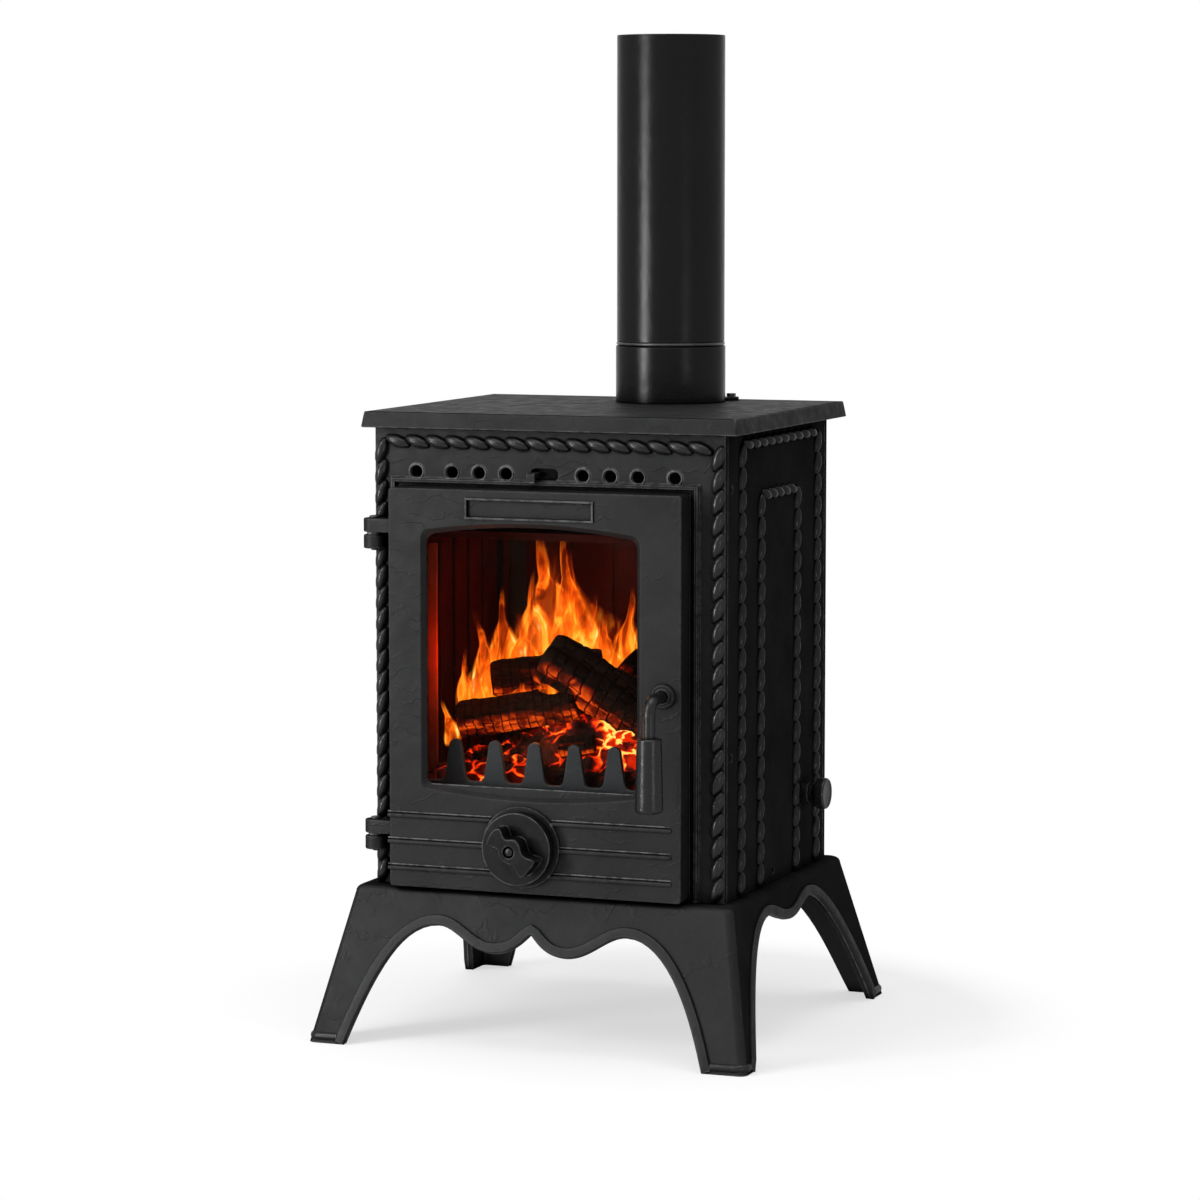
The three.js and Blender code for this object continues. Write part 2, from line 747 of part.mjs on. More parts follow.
function frontPlate() {
  let plate = block(-halfWidth, halfWidth, frontY, frontInnerY, bodyBottom, bodyTop);
  const ropeFoot = bodyBottom + ropeFootGap;
  const ropeTop = bodyTop - frontRopeTopDrop;
  for (const side of [-1, 1]) {
    const start = new THREE.Vector3(side * (halfWidth - ropeInset), frontY, ropeFoot);
    plate = plate.add(ropeStrip(start, up, forward, ropeTop - ropeRadius - ropeFoot, ropePitch,
      ropeShoulderShares, frontRopeArc));
  }
  const rowStart = new THREE.Vector3(-halfWidth + ropeInset + ropeRadius, frontY, ropeTop);
  plate = plate.add(ropeStrip(rowStart, right, forward, bodyWidth - 2 * (ropeInset + ropeRadius), ropePitch,
    ropeShoulderShares, frontRopeArc));
  const left = doorLeft - surroundGap;
  const edge = doorRight + surroundGap;
  const top = doorTop + surroundGap;
  const raise = frontY - surroundRaise;
  plate = join(plate,
    block(left - surroundWidth, left, raise, frontY + wall / 2, bodyBottom, top + surroundWidth),
    block(edge, edge + surroundWidth, raise, frontY + wall / 2, bodyBottom, top + surroundWidth),
    block(left, edge, raise, frontY + wall / 2, top, top + surroundWidth));
  for (const level of hingeLevels) {
    const half = knuckleHeight + hingeWasherHeight / 2 + pinTail + gap;
    plate = plate.subtract(rod('z', knuckleRadius + surroundGap / 2, level - half, level + half,
      [pinX, pinY, 0], roundSides));
    const high = level - hingeWasherHeight / 2;
    plate = plate.add(knuckle('body', high - knuckleHeight, high));
    plate = plate.subtract(pinBore(high - knuckleHeight, high));
  }
  const slot = roundedRect(ventCentre - ventSlotLength / 2, ventCentre + ventSlotLength / 2,
    ventZ - ventSlotHeight / 2, ventZ + ventSlotHeight / 2, ventSlotHeight / 3, 2);
  return carve(plate,
    block(openLeft, openRight, frontY - overrun, frontInnerY + overrun, openBottom, openTop),
    ventPlaces().map(ventCutter),
    prism('y', outlineShape(slot), frontY - overrun, frontInnerY + overrun));
}

function sideRopes(side) {
  const face = side * halfWidth;
  const out = new THREE.Vector3(side, 0, 0);
  const foot = bodyBottom + ropeFootGap;
  const outerTop = bodyTop - sideRopeTopDrop;
  const panelTop = bodyTop - sidePanelDrop;
  const front = -halfDepth + sideRopeFrontInset;
  const rear = halfDepth - sideRopeBackInset;
  const strips = [];
  const column = (y, top) => strips.push(ropeStrip(new THREE.Vector3(face, y, foot), up, out,
    top - ropeRadius - foot, sideRopePitch, ropeBeadShares, sideRopeArc));
  const row = (y0, y1, z) => strips.push(ropeStrip(new THREE.Vector3(face, y0, z), back, out,
    y1 - y0, ropeRowPitch, ropeBeadShares, sideRopeArc));
  column(front, outerTop);
  column(-sidePanelHalf, panelTop);
  column(sidePanelHalf, panelTop);
  column(rear, outerTop);
  row(front + ropeRadius, rear - ropeRadius, outerTop);
  row(-sidePanelHalf + ropeRadius, sidePanelHalf - ropeRadius, panelTop);
  return strips;
}

function sidePlate(side) {
  const outerX = side * halfWidth;
  const innerFace = side * innerX;
  const x0 = Math.min(outerX, innerFace);
  const x1 = Math.max(outerX, innerFace);
  const ledgeIn = side * (innerX - hearthLedge);
  const plate = block(x0, x1, -innerY + gap, innerY - gap, bodyBottom, bodyTop);
  const ledgeEnd = innerY - 2 * tieInset;
  const ledge = block(Math.min(ledgeIn, innerFace), Math.max(ledgeIn, innerFace) + gap, -ledgeEnd, ledgeEnd,
    hearthBottom - gap - hearthLedge, hearthBottom - gap);
  const ledgeRoot = side < 0 ? ledge.translate([-gap, 0, 0]) : ledge;
  const dimples = screwDimpleRaises.map((raise) => rod('x', screwDimpleRadius,
    outerX - screwDimpleDepth, outerX + screwDimpleDepth, [0, -halfDepth + screwDimpleInset,
    legHeight + raise],
    smallSides));
  const whole = carve(join(plate, ledgeRoot, sideRopes(side)), dimples);
  if (side < 0) return whole;
  return whole.subtract(rod('x', bushSpigotRadius + gap, innerX - overrun, halfWidth + overrun,
    [0, riddleRodY, riddleRodZ], roundSides));
}

function backPlate() {
  const plate = block(-halfWidth, halfWidth, innerY, halfDepth, bodyBottom, bodyTop);
  const x = halfWidth - backRibInset;
  const z0 = bodyBottom + backRibInset;
  const z1 = bodyTop - backRibInset;
  const ring = outlineShape([[-x, z0], [x, z0], [x, z1], [-x, z1]],
    [[[-x + backRibWidth, z0 + backRibWidth], [-x + backRibWidth, z1 - backRibWidth],
      [x - backRibWidth, z1 - backRibWidth], [x - backRibWidth, z0 + backRibWidth]]]);
  const frame = prism('y', ring, halfDepth - wall / 2, halfDepth + backRibRaise);
  const bar = block(-x + backRibWidth / 2, x - backRibWidth / 2, halfDepth - wall / 2,
      halfDepth + backRibRaise,
    (z0 + z1 - backRibWidth) / 2, (z0 + z1 + backRibWidth) / 2);
  return join(plate, frame, bar);
}

function basePlate() {
  const z0 = deckZ + gap;
  const plate = block(-innerX + gap, innerX - gap, -innerY + gap, innerY - gap, z0, baseTop);
  return carve(plate, tiePlaces().map(([x, y]) => tieBore(x, y, z0 - overrun, baseTop + overrun)));
}

// Top plate, lid and flue

function topPlate() {
  const ring = (inset, z) => roundedRect(-halfWidth - plateSide + inset, halfWidth + plateSide - inset,
    -halfDepth - plateFront + inset, halfDepth + plateBack - inset, plateDraft, 2)
    .map(([u, v]) => new THREE.Vector3(u, v, z));
  const slab = loft([ring(0, plateBottom), ring(plateDraft, plateTop - plateEdge),
    ring(plateDraft + plateEdge, plateTop)], flatXY);
  const locatorX = innerX - gap;
  const locatorY = innerY - 2 * tieInset;
  const locatorZ = plateBottom - locatorDepth;
  const root = plateBottom + plateThickness / 2;
  const locators = [-1, 1].map((side) => {
    const edge = side * locatorX;
    const inner = side * (locatorX - locatorWidth);
    return block(Math.min(edge, inner), Math.max(edge, inner), -locatorY, locatorY, locatorZ, root);
  });
  const bosses = tiePlaces().map(([x, y]) => rod('z', tieBossRadius, plateBottom - tieBossDepth, root,
    [x, y, 0], smallSides));
  const bores = tiePlaces().map(([x, y]) => tieBore(x, y, plateBottom - tieBossDepth - overrun,
    plateBottom - tieBossFloor));
  const flueBore = rod('z', pipeRadius - collarWall, plateBottom - overrun, plateTop + overrun,
    [fluePlaceX, fluePlaceY, 0], wideSides);
  const lidSeat = rod('z', lidRadius + gap, plateTop - lidThickness, plateTop + overrun,
    [lidPlaceX, lidPlaceY, 0], wideSides);
  const lidBore = rod('z', lidRadius - lidStep, plateBottom - overrun, plateTop + overrun,
    [lidPlaceX, lidPlaceY, 0], wideSides);
  const bolts = collarBoltPlaces().map(([x, y]) => rod('z', boltRadius + gap, plateTop - plateThickness / 2,
    plateTop + overrun, [x, y, 0], boltSides));
  return carve(join(slab, locators, bosses), bores, flueBore, lidSeat, lidBore, bolts);
}

function hobLid() {
  const seat = plateTop - lidThickness + gap;
  const foot = seat - lidThickness / 2;
  const profile = [[0, foot], [lidRadius - lidStep - gap * 2, foot], [lidRadius - lidStep - gap * 2, seat],
    [lidRadius - gap, seat], [lidRadius - gap, plateTop - plateEdge], [lidRadius - gap - plateEdge,
    plateTop],
    [0, plateTop]];
  return turned('z', profile, [lidPlaceX, lidPlaceY, 0], wideSides);
}

function collarBoltPlaces() {
  return collarEarTurns.map((turn) => {
    const angle = THREE.MathUtils.degToRad(turn);
    return [fluePlaceX + collarBoltReach * Math.cos(angle), fluePlaceY + collarBoltReach * Math.sin(angle)];
  });
}

const collarFoot = plateTop + gap;
const collarTop = collarFoot + collarHeight;
const pipeFoot = collarTop + collarBeadHeight + gap;
const spigotRadius = pipeRadius - pipeWall - 2 * gap;
const collarInner = pipeRadius - collarWall;

function flueCollar() {
  const profile = [[collarInner, collarFoot], [pipeRadius + collarProud, collarFoot],
    [pipeRadius + collarProud, collarTop], [spigotRadius, collarTop],
    [spigotRadius, collarTop + collarBeadHeight / 3],
    [pipeRadius - collarProud / 2, collarTop + collarBeadHeight / 3],
    [pipeRadius - collarProud / 2, collarTop + collarBeadHeight],
    [spigotRadius, collarTop + collarBeadHeight], [spigotRadius, collarTop + collarSpigotHeight],
    [collarInner, collarTop + collarSpigotHeight], [collarInner, collarFoot]];
  let collar = turned('z', profile, [fluePlaceX, fluePlaceY, 0], wideSides);
  const top = collarFoot + collarEarThickness;
  for (const turn of collarEarTurns) {
    const angle = THREE.MathUtils.degToRad(turn);
    const reach = collarEarReach - collarEarRadius;
    const tip = [fluePlaceX + reach * Math.cos(angle), fluePlaceY + reach * Math.sin(angle)];
    const root = pipeRadius - collarWall / 2;
    const foot = [fluePlaceX + root * Math.cos(angle), fluePlaceY + root * Math.sin(angle)];
    const aside = [-Math.sin(angle) * collarEarRadius, Math.cos(angle) * collarEarRadius];
    const strap = outlineShape([[foot[0] - aside[0], foot[1] - aside[1]], [tip[0] - aside[0],
    tip[1] - aside[1]],
      [tip[0] + aside[0], tip[1] + aside[1]], [foot[0] + aside[0], foot[1] + aside[1]]]);
    collar = join(collar, prism('z', strap, collarFoot, top),
      rod('z', collarEarRadius, collarFoot, top, [tip[0], tip[1], 0], roundSides));
  }
  const bore = rod('z', collarInner, collarFoot - overrun, collarTop + collarSpigotHeight + overrun,
    [fluePlaceX, fluePlaceY, 0], wideSides);
  const bolts = collarBoltPlaces().map(([x, y]) => rod('z', boltRadius + gap, collarFoot - overrun,
    top + overrun, [x, y, 0], boltSides));
  return carve(collar, bore, bolts);
}

function collarBolt([x, y]) {
  const head = collarFoot + collarEarThickness + gap;
  const tip = plateTop - plateThickness / 2 + gap;
  const shank = rod('z', boltRadius, tip, head + boltHeadHeight / 2, [x, y, 0], boltSides);
  return shank.add(rod('z', boltHeadRadius, head, head + boltHeadHeight, [x, y, 0], boltSides));
}

function fluePipe() {
  const top = pipeFoot + fluePipeLength;
  const profile = [[pipeRadius - pipeWall, pipeFoot], [pipeRadius, pipeFoot], [pipeRadius, top],
    [pipeRadius - pipeWall, top], [pipeRadius - pipeWall, pipeFoot]];
  return turned('z', profile, [fluePlaceX, fluePlaceY, 0], wideSides);
}

// Tie rods

function tieRod([x, y]) {
  const seat = deckZ - shoulderRadius - gap;
  const tip = plateBottom - tieBossFloor - gap;
  return rod('z', tieRadius, seat - tieHeadHeight / 2, tip, [x, y, 0], boltSides)
    .add(rod('z', tieHeadRadius, seat - tieHeadHeight, seat, [x, y, 0], boltSides));
}

// Door

function windowOutline(grow) {
  const x0 = windowX - windowWidth / 2 - grow;
  const x1 = windowX + windowWidth / 2 + grow;
  const foot = windowBottom + windowSag - grow;
  const head = windowTop - windowArch + grow;
  const shape = new THREE.Shape();
  const top = windowTopRadius;
  const low = windowFootRadius;
  shape.moveTo(x0, foot + low);
  shape.quadraticCurveTo(x0, foot, x0 + low, foot - low / 4);
  shape.quadraticCurveTo(windowX, foot - 2 * windowSag, x1 - low, foot - low / 4);
  shape.quadraticCurveTo(x1, foot, x1, foot + low);
  shape.lineTo(x1, head - top);
  shape.quadraticCurveTo(x1, head, x1 - top, head);
  shape.quadraticCurveTo(windowX, head + 2 * windowArch, x0 + top, head);
  shape.quadraticCurveTo(x0, head, x0, head - top);
  shape.closePath();
  const points = shape.getPoints(windowSteps);
  return points[0].equals(points[points.length - 1]) ? points.slice(0, -1) : points;
}

function windowCutter() {
  const ring = (grow, y) => windowOutline(grow).map((point) => new THREE.Vector3(point.x, y, point.y));
  return loft([ring(windowChamfer + castDraft, doorFrontY - castDraft), ring(windowChamfer, doorFrontY),
    ring(0, doorFrontY + windowChamfer), ring(0, doorFrontY + doorFace + overrun)], flatXZ);
}

function doorBeads() {
  const beads = [];
  const x0 = doorLeft - castDraft;
  const x1 = doorRight - beadEndInset;
  for (let bead = 0; bead < beadCount; bead += 1) {
    const z = doorBottom + beadLowRaise + bead * beadPitch;
    const outline = outlineShape([[doorFrontY + doorFace / 2, z - beadHeight / 2],
      [doorFrontY + doorFace / 2, z + beadHeight / 2], [doorFrontY - beadRaise / 3, z + beadHeight / 2],
      [doorFrontY - beadRaise, z + beadHeight / 4], [doorFrontY - beadRaise, z - beadHeight / 4],
      [doorFrontY - beadRaise / 3, z - beadHeight / 2]]);
    beads.push(prism('x', outline, x0, x1));
  }
  return beads;
}

function clipScrewPlaces() {
  const x = windowWidth / 2 + glassLap - clipScrewInset;
  const low = windowBottom - glassLap - gap - clipPillarRadius;
  const high = windowTop + glassLap + gap + clipPillarRadius;
  return [['lower_left', windowX - x, low], ['lower_right', windowX + x, low],
    ['upper_left', windowX - x, high], ['upper_right', windowX + x, high]];
}

const glassY = doorFrontY + doorFace + gap;
const clipY = glassY + glassThickness + gap;

function doorCasting() {
  const ring = (inset, y) => roundedRect(doorLeft + inset, doorRight - inset, doorBottom + inset,
      doorTop - inset,
    doorCornerRadius, 2).map(([u, v]) => new THREE.Vector3(u, y, v));
  const shell = loft([ring(doorChamfer, doorFrontY), ring(0, doorFrontY + doorChamfer), ring(0, doorBackY)],
    flatXZ);
  const hollow = block(doorLeft + doorRim, doorRight - doorRim, doorFrontY + doorFace,
    doorBackY - doorFlangeDepth, doorBottom + doorRim, doorTop - doorRim);
  const mouth = block(openLeft, openRight, doorFrontY + doorFace, doorBackY + overrun, openBottom, openTop);
  const fieldX0 = windowX - plateFieldWidth / 2;
  const fieldX1 = windowX + plateFieldWidth / 2;
  const fieldZ1 = doorTop - plateFieldDrop;
  const fieldZ0 = fieldZ1 - plateFieldHeight;
  const rim = prism('y', outlineShape([[fieldX0, fieldZ0], [fieldX1, fieldZ0], [fieldX1, fieldZ1],
    [fieldX0, fieldZ1]], [[[fieldX0 + plateRim, fieldZ0 + plateRim], [fieldX0 + plateRim,
    fieldZ1 - plateRim],
    [fieldX1 - plateRim, fieldZ1 - plateRim], [fieldX1 - plateRim, fieldZ0 + plateRim]]]),
  doorFrontY - plateRimRaise, doorFrontY + doorFace / 2);
  const boss = rod('y', bossRadius, doorFrontY - bossRaise, doorFrontY + doorFace / 2,
    [spinnerX, 0, spinnerZ], wideSides);
  const handleBoss = rod('y', handleBossRadius, doorFrontY + doorFace / 2, doorBackY - doorFlangeDepth,
    [handleX, 0, handleZ], roundSides);
  const pillars = clipScrewPlaces().map(([, x, z]) => rod('y', clipPillarRadius, doorFrontY + doorFace / 2,
    clipY - gap, [x, 0, z], boltSides));
  const pillarBores = clipScrewPlaces().map(([, x, z]) => rod('y', clipScrewRadius + gap,
    doorFrontY + doorFace / 2, clipY + overrun, [x, 0, z], boltSides));
  const ports = Array.from({ length: airPortCount }, (_, port) => {
    const angle = (2 * Math.PI * (port + 0.5)) / airPortCount;
    const x = spinnerX + airPortCircle * Math.cos(angle);
    const z = spinnerZ + airPortCircle * Math.sin(angle);
    return rod('y', airPortRadius, doorFrontY - overrun, doorFrontY + doorFace + overrun, [x, 0, z],
        boltSides);
  });
  const arms = hingeLevels.map((level) => {
    const low = level + hingeWasherHeight / 2;
    return knuckle('door', low, low + knuckleHeight);
  });
  const armBores = hingeLevels.map((level) => pinBore(level, level + knuckleHeight + hingeWasherHeight));
  const handleBore = rod('y', handleRodRadius + gap, doorFrontY - overrun, doorBackY,
    [handleX, 0, handleZ], roundSides);
  const studBore = rod('y', studRadius + gap, doorFrontY - bossRaise - overrun,
      doorFrontY + doorFace + overrun,
    [spinnerX, 0, spinnerZ], smallSides);
  const whole = join(carve(shell, hollow, mouth), rim, boss, doorBeads(), handleBoss, pillars, arms);
  return carve(whole, windowCutter(), pillarBores, ports, armBores, handleBore, studBore);
}

function doorSeal() {
  const inset = (doorFlangeWidth - sealWidth) / 2;
  const rect = (grow) => [[doorLeft + grow, doorBottom + grow], [doorRight - grow, doorBottom + grow],
    [doorRight - grow, doorTop - grow], [doorLeft + grow, doorTop - grow]];
  const shape = outlineShape(rect(inset), [rect(inset + sealWidth)]);
  return prism('y', shape, doorBackY + gap, frontY - gap);
}

function doorGlass() {
  return block(windowX - windowWidth / 2 - glassLap, windowX + windowWidth / 2 + glassLap, glassY,
    glassY + glassThickness, windowBottom - glassLap, windowTop + glassLap);
}

function glassClip(high) {
  const edge = high ? windowTop + glassLap - clipLap : windowBottom - glassLap + clipLap - clipHeight;
  const reach = windowWidth / 2 + glassLap;
  const bar = block(windowX - reach, windowX + reach, clipY, clipY + clipThickness, edge,
      edge + clipHeight);
  const bores = clipScrewPlaces().map(([, x, z]) => rod('y', clipScrewRadius + gap, clipY - overrun,
    clipY + clipThickness + overrun, [x, 0, z], boltSides));
  return carve(bar, bores);
}

function clipScrew(x, z) {
  const head = clipY + clipThickness + gap;
  const tip = doorFrontY + doorFace / 2 + gap;
  return rod('y', clipScrewRadius, tip, head + clipHeadHeight / 2, [x, 0, z], boltSides)
    .add(rod('y', clipHeadRadius, head, head + clipHeadHeight, [x, 0, z], smallSides));
}

// Hinge pins and washers

function hingePin(level) {
  const top = level + hingeWasherHeight / 2 + knuckleHeight + gap;
  const foot = level - hingeWasherHeight / 2 - knuckleHeight - pinTail;
  return rod('z', pinRadius, foot, top + pinHeadHeight / 2, [pinX, pinY, 0], smallSides)
    .add(rod('z', pinHeadRadius, top, top + pinHeadHeight, [pinX, pinY, 0], roundSides));
}

function hingeWasher(level) {
  const half = hingeWasherHeight / 2 - gap;
  return rod('z', hingeWasherRadius, level - half, level + half, [pinX, pinY, 0], roundSides)
    .subtract(pinBore(level - half, level + half));
}

// Door handle and latch

class HandleLine extends THREE.Curve {
  constructor(from, bend, down) {
    super();
    this.lengths = [from, (Math.PI / 2) * bend, down];
    this.bend = bend;
  }

  getPoint(share, target = new THREE.Vector3()) {
    const [straight, arc, down] = this.lengths;
    const travel = share * (straight + arc + down);
    if (travel <= straight) return target.set(0, -travel, 0);
    if (travel <= straight + arc) {
      const angle = (travel - straight) / this.bend;
      return target.set(0, -straight - this.bend * Math.sin(angle), -this.bend * (1 - Math.cos(angle)));
    }
    return target.set(0, -straight - this.bend, -this.bend - (travel - straight - arc));
  }
}

const tongueY = frontInnerY + keeperThickness + 2 * gap;
const latchNutY = tongueY + tongueThickness + gap;
const gripTop = handleZ - gripTopDrop;
const gripFoot = gripTop - gripLength;
const handleShaftStart = doorFrontY + doorFace / 2;

function doorHandle() {
  const straight = handleShaftStart - (doorFrontY - handleStandoff) - handleBendRadius;
  const down = handleZ - handleBendRadius - gripFoot - gripLength / 3;
  const line = new HandleLine(straight, handleBendRadius, down);
  const section = outlineShape(circlePoints(0, 0, handleRodRadius, tubeSides));
  const tube = new THREE.ExtrudeGeometry(section, { steps: tubeSteps, bevelEnabled: false,
      extrudePath: line });
  tube.translate(handleX, handleShaftStart, handleZ);
  const tail = latchNutY + latchNutHeight + handleShaftTail;
  const shaft = rod('y', handleShaftRadius, handleShaftStart - doorFace / 2, tail, [handleX, 0,
      handleZ], smallSides);
  return solid(tube).add(shaft);
}

function handleGrip() {
  const y = doorFrontY - handleStandoff;
  const boreRadius = handleRodRadius + gripBoreClear;
  const boreFoot = gripFoot + gripLength / 3 - gap;
  const profile = [[0, gripFoot], [gripFootRadius - gripEdge, gripFoot], [gripFootRadius,
      gripFoot + gripEdge],
    [gripTopRadius, gripTop - gripEdge], [gripTopRadius - gripEdge, gripTop], [boreRadius, gripTop],
    [boreRadius, boreFoot], [0, boreFoot]];
  return turned('z', profile, [handleX, y, 0], roundSides);
}

function escutcheon() {
  const y0 = doorFrontY - escutcheonHeight - gap;
  const y1 = doorFrontY - gap;
  const bore = handleRodRadius + gap;
  const profile = [[bore, y0], [bore + gripEdge, y0], [escutcheonRadius - gripEdge, y0 + gripEdge],
    [escutcheonRadius, y1], [bore, y1], [bore, y0]];
  return turned('y', profile, [handleX, 0, handleZ], roundSides);
}

function latchTongue() {
  const bar = outlineShape([[handleX - tongueHalfWidth, handleZ], [handleX + tongueHalfWidth, handleZ],
    [handleX + tongueHalfWidth, handleZ + tongueLength - tongueHalfWidth],
    [handleX, handleZ + tongueLength], [handleX - tongueHalfWidth,
        handleZ + tongueLength - tongueHalfWidth]]);
  const eye = rod('y', handleShaftRadius + tongueEyeWall, tongueY, tongueY + tongueThickness, [handleX,
      0, handleZ],
    roundSides);
  const bore = rod('y', handleShaftRadius + gap, tongueY - overrun, tongueY + tongueThickness + overrun,
    [handleX, 0, handleZ], smallSides);
  return join(prism('y', bar, tongueY, tongueY + tongueThickness), eye).subtract(bore);
}

function latchNut() {
  return rod('y', latchNutRadius, latchNutY, latchNutY + latchNutHeight, [handleX, 0, handleZ], boltSides)
    .subtract(rod('y', handleShaftRadius + gap, latchNutY - overrun, latchNutY + latchNutHeight + overrun,
      [handleX, 0, handleZ], smallSides));
}

function doorKeeper() {
  const x0 = openRight + gap;
  const y0 = frontInnerY + gap;
  const z0 = handleZ + keeperRaise;
  const wedge = outlineShape([[x0, y0], [x0 + keeperWidth, y0], [x0 + keeperWidth, y0 + keeperThickness],
    [x0 + keeperWidth / 3, y0 + keeperThickness]]);
  return prism('z', wedge, z0, z0 + keeperHeight);
}

// Air spinner

const spinnerBackY = doorFrontY - bossRaise - spinnerOpening;
const spinnerFaceY = spinnerBackY - spinnerThickness;
const spinnerTipY = spinnerFaceY - spinnerGripHeight;

function airSpinner() {
  const profile = [[0, spinnerFaceY], [spinnerRadius - spinnerEdge, spinnerFaceY],
    [spinnerRadius, spinnerFaceY + gripEdge], [spinnerRadius, spinnerBackY], [0, spinnerBackY]];
  const disc = turned('y', profile, [spinnerX, 0, spinnerZ], wideSides);
  const wing = spinnerGripShares.map(([u, v]) => [u * spinnerGripReach, v * spinnerGripReach]);
  const outline = [...wing, ...wing.map(([u, v]) => [-u, -v])].map(([u, v]) => [spinnerX + u,
      spinnerZ + v]);
  const grip = prism('y', outlineShape(outline), spinnerTipY, spinnerFaceY + gripEdge);
  const recess = rod('y', spinnerBoreRadius, spinnerTipY - overrun, spinnerTipY + spinnerBoreDepth,
    [spinnerX, 0, spinnerZ], boltSides);
  const bore = rod('y', turningBore(studRadius, smallSides), spinnerTipY - overrun, spinnerBackY + overrun,
    [spinnerX, 0, spinnerZ], smallSides);
  const pocket = rod('y', washerRadius + gap, spinnerBackY - washerThickness - gap, spinnerBackY + overrun,
    [spinnerX, 0, spinnerZ], roundSides);
  return carve(join(disc, grip), recess, bore, pocket);
}

function spinnerWasher() {
  const y0 = spinnerBackY - washerThickness;
  return rod('y', washerRadius, y0, spinnerBackY, [spinnerX, 0, spinnerZ], roundSides)
    .subtract(rod('y', studRadius + gap, y0 - overrun, spinnerBackY + overrun, [spinnerX, 0, spinnerZ],
      smallSides));
}

const studNutY = doorFrontY + doorFace + gap;

function spinnerStud() {
  return rod('y', studRadius, spinnerTipY + spinnerBoreDepth / 2, studNutY + studNutHeight + castDraft,
    [spinnerX, 0, spinnerZ], smallSides);
}

function spinnerNut() {
  return rod('y', studNutRadius, studNutY, studNutY + studNutHeight, [spinnerX, 0, spinnerZ], boltSides)
    .subtract(rod('y', studRadius + gap, studNutY - overrun, studNutY + studNutHeight + overrun,
      [spinnerX, 0, spinnerZ], smallSides));
}

// Air slider behind the vents

const sliderY = frontInnerY + gap;
const sliderZ0 = ventZ - sliderHeight / 2;
const sliderZ1 = ventZ + sliderHeight / 2;

function airSlider() {
  const x0 = ventCentre - sliderHalfLength;
  const plate = block(x0, ventCentre + sliderHalfLength, sliderY, sliderY + sliderThickness, sliderZ0,
      sliderZ1);
  const leverX0 = ventCentre - ventSlotLength / 2 + gap * 3;
  const lever = block(leverX0, leverX0 + leverWidth, frontY - leverReach, sliderY + sliderThickness / 2,
    ventZ - leverHeight / 2, ventZ + leverHeight / 2);
  const tip = block(leverX0, leverX0 + leverWidth, frontY - leverReach, frontY - leverReach + leverTip,
    ventZ - leverHeight / 2 - leverTip, ventZ + leverHeight / 2);
  const holes = ventPlaces().map((x) => rod('y', ventRadius, sliderY - overrun,
      sliderY + sliderThickness + overrun,
    [x, 0, ventZ], smallSides));
  return carve(join(plate, lever, tip), holes);
}

function sliderRail(high) {
  const x0 = ventCentre - sliderHalfLength;
  const x1 = ventCentre + sliderHalfLength;
  const back0 = sliderY + sliderThickness + gap;
  const back1 = back0 + railThickness;
  const edge = high ? sliderZ1 + gap : sliderZ0 - gap;
  const far = high ? edge + railHeight : edge - railHeight;
  const lap = high ? edge - railLap : edge + railLap;
  const foot = block(x0, x1, sliderY, back1, Math.min(edge, far), Math.max(edge, far));
  const lip = block(x0, x1, back0, back1, Math.min(lap, far), Math.max(lap, far));
  return join(foot, lip);
}

// Hearth, riddling grate and ash pan

function grateSlots(z0, z1) {
  const slots = [];
  const count = Math.floor((2 * grateHalfX - grateSlot) / gratePitch) + 1;
  const first = -((count - 1) * gratePitch) / 2;
  for (let slot = 0; slot < count; slot += 1) {
    const x = first + slot * gratePitch;
    slots.push(block(x - grateSlot / 2, x + grateSlot / 2, -grateHalfY + grateSlot,
        grateHalfY - grateSlot, z0, z1));
  }
  return slots;
}

function hearthPlate() {
  const plate = block(-innerX + gap, innerX - gap, -innerY + gap, innerY - gap, hearthBottom, hearthTop);
  const rails = [-1, 1].map((side) => {
    const inner = side * (grateHalfY + gap);
    const outer = side * (grateHalfY + gap + grateRail);
    const lip = side * (grateHalfY - grateRail);
    const y0 = Math.min(inner, outer);
    const y1 = Math.max(inner, outer);
    const web = block(-grateHalfX, grateHalfX - riddleEarWidth - riddleTravel, y0, y1,
      riddleBottom - gap - riddleHang, hearthBottom + hearthThickness / 2);
    const shelf = block(-grateHalfX, grateHalfX - riddleEarWidth - riddleTravel, Math.min(lip, outer),
      Math.max(lip, outer), riddleBottom - gap - riddleHang, riddleBottom - gap);
    return join(web, shelf);
  });
  const ties = tiePlaces().map(([x, y]) => tieBore(x, y, hearthBottom - overrun, hearthTop + overrun));
  return carve(join(plate, rails), grateSlots(hearthBottom - overrun, hearthTop + overrun), ties);
}

function riddlingGrate() {
  const plate = block(-grateHalfX, grateHalfX, -grateHalfY, grateHalfY, riddleBottom, riddleTop);
  const ear = block(grateHalfX - riddleEarWidth, grateHalfX, grateHalfY - grateRail,
    riddleRodY + riddleRodRadius * 2, riddleBottom, riddleTop);
  const lug = block(grateHalfX - riddleEarWidth, grateHalfX, riddleRodY - riddleRodRadius * 2,
    riddleRodY + riddleRodRadius * 2, riddleTop - riddleLugDepth, riddleTop);
  const bore = rod('x', riddleRodRadius + gap, grateHalfX - riddleEarWidth - overrun, grateHalfX + overrun,
    [0, riddleRodY, riddleRodZ], smallSides);
  return carve(join(plate, ear, lug), grateSlots(riddleBottom - overrun, riddleTop + overrun), bore);
}

const knobBackX = halfWidth + gap + bushHeight + gap * 2;

function riddlingRod() {
  const inner = grateHalfX - riddleEarWidth - riddleNutHeight - 2 * gap;
  return rod('x', riddleRodRadius, inner, knobBackX + knobLength / 2, [0, riddleRodY, riddleRodZ],
      smallSides);
}

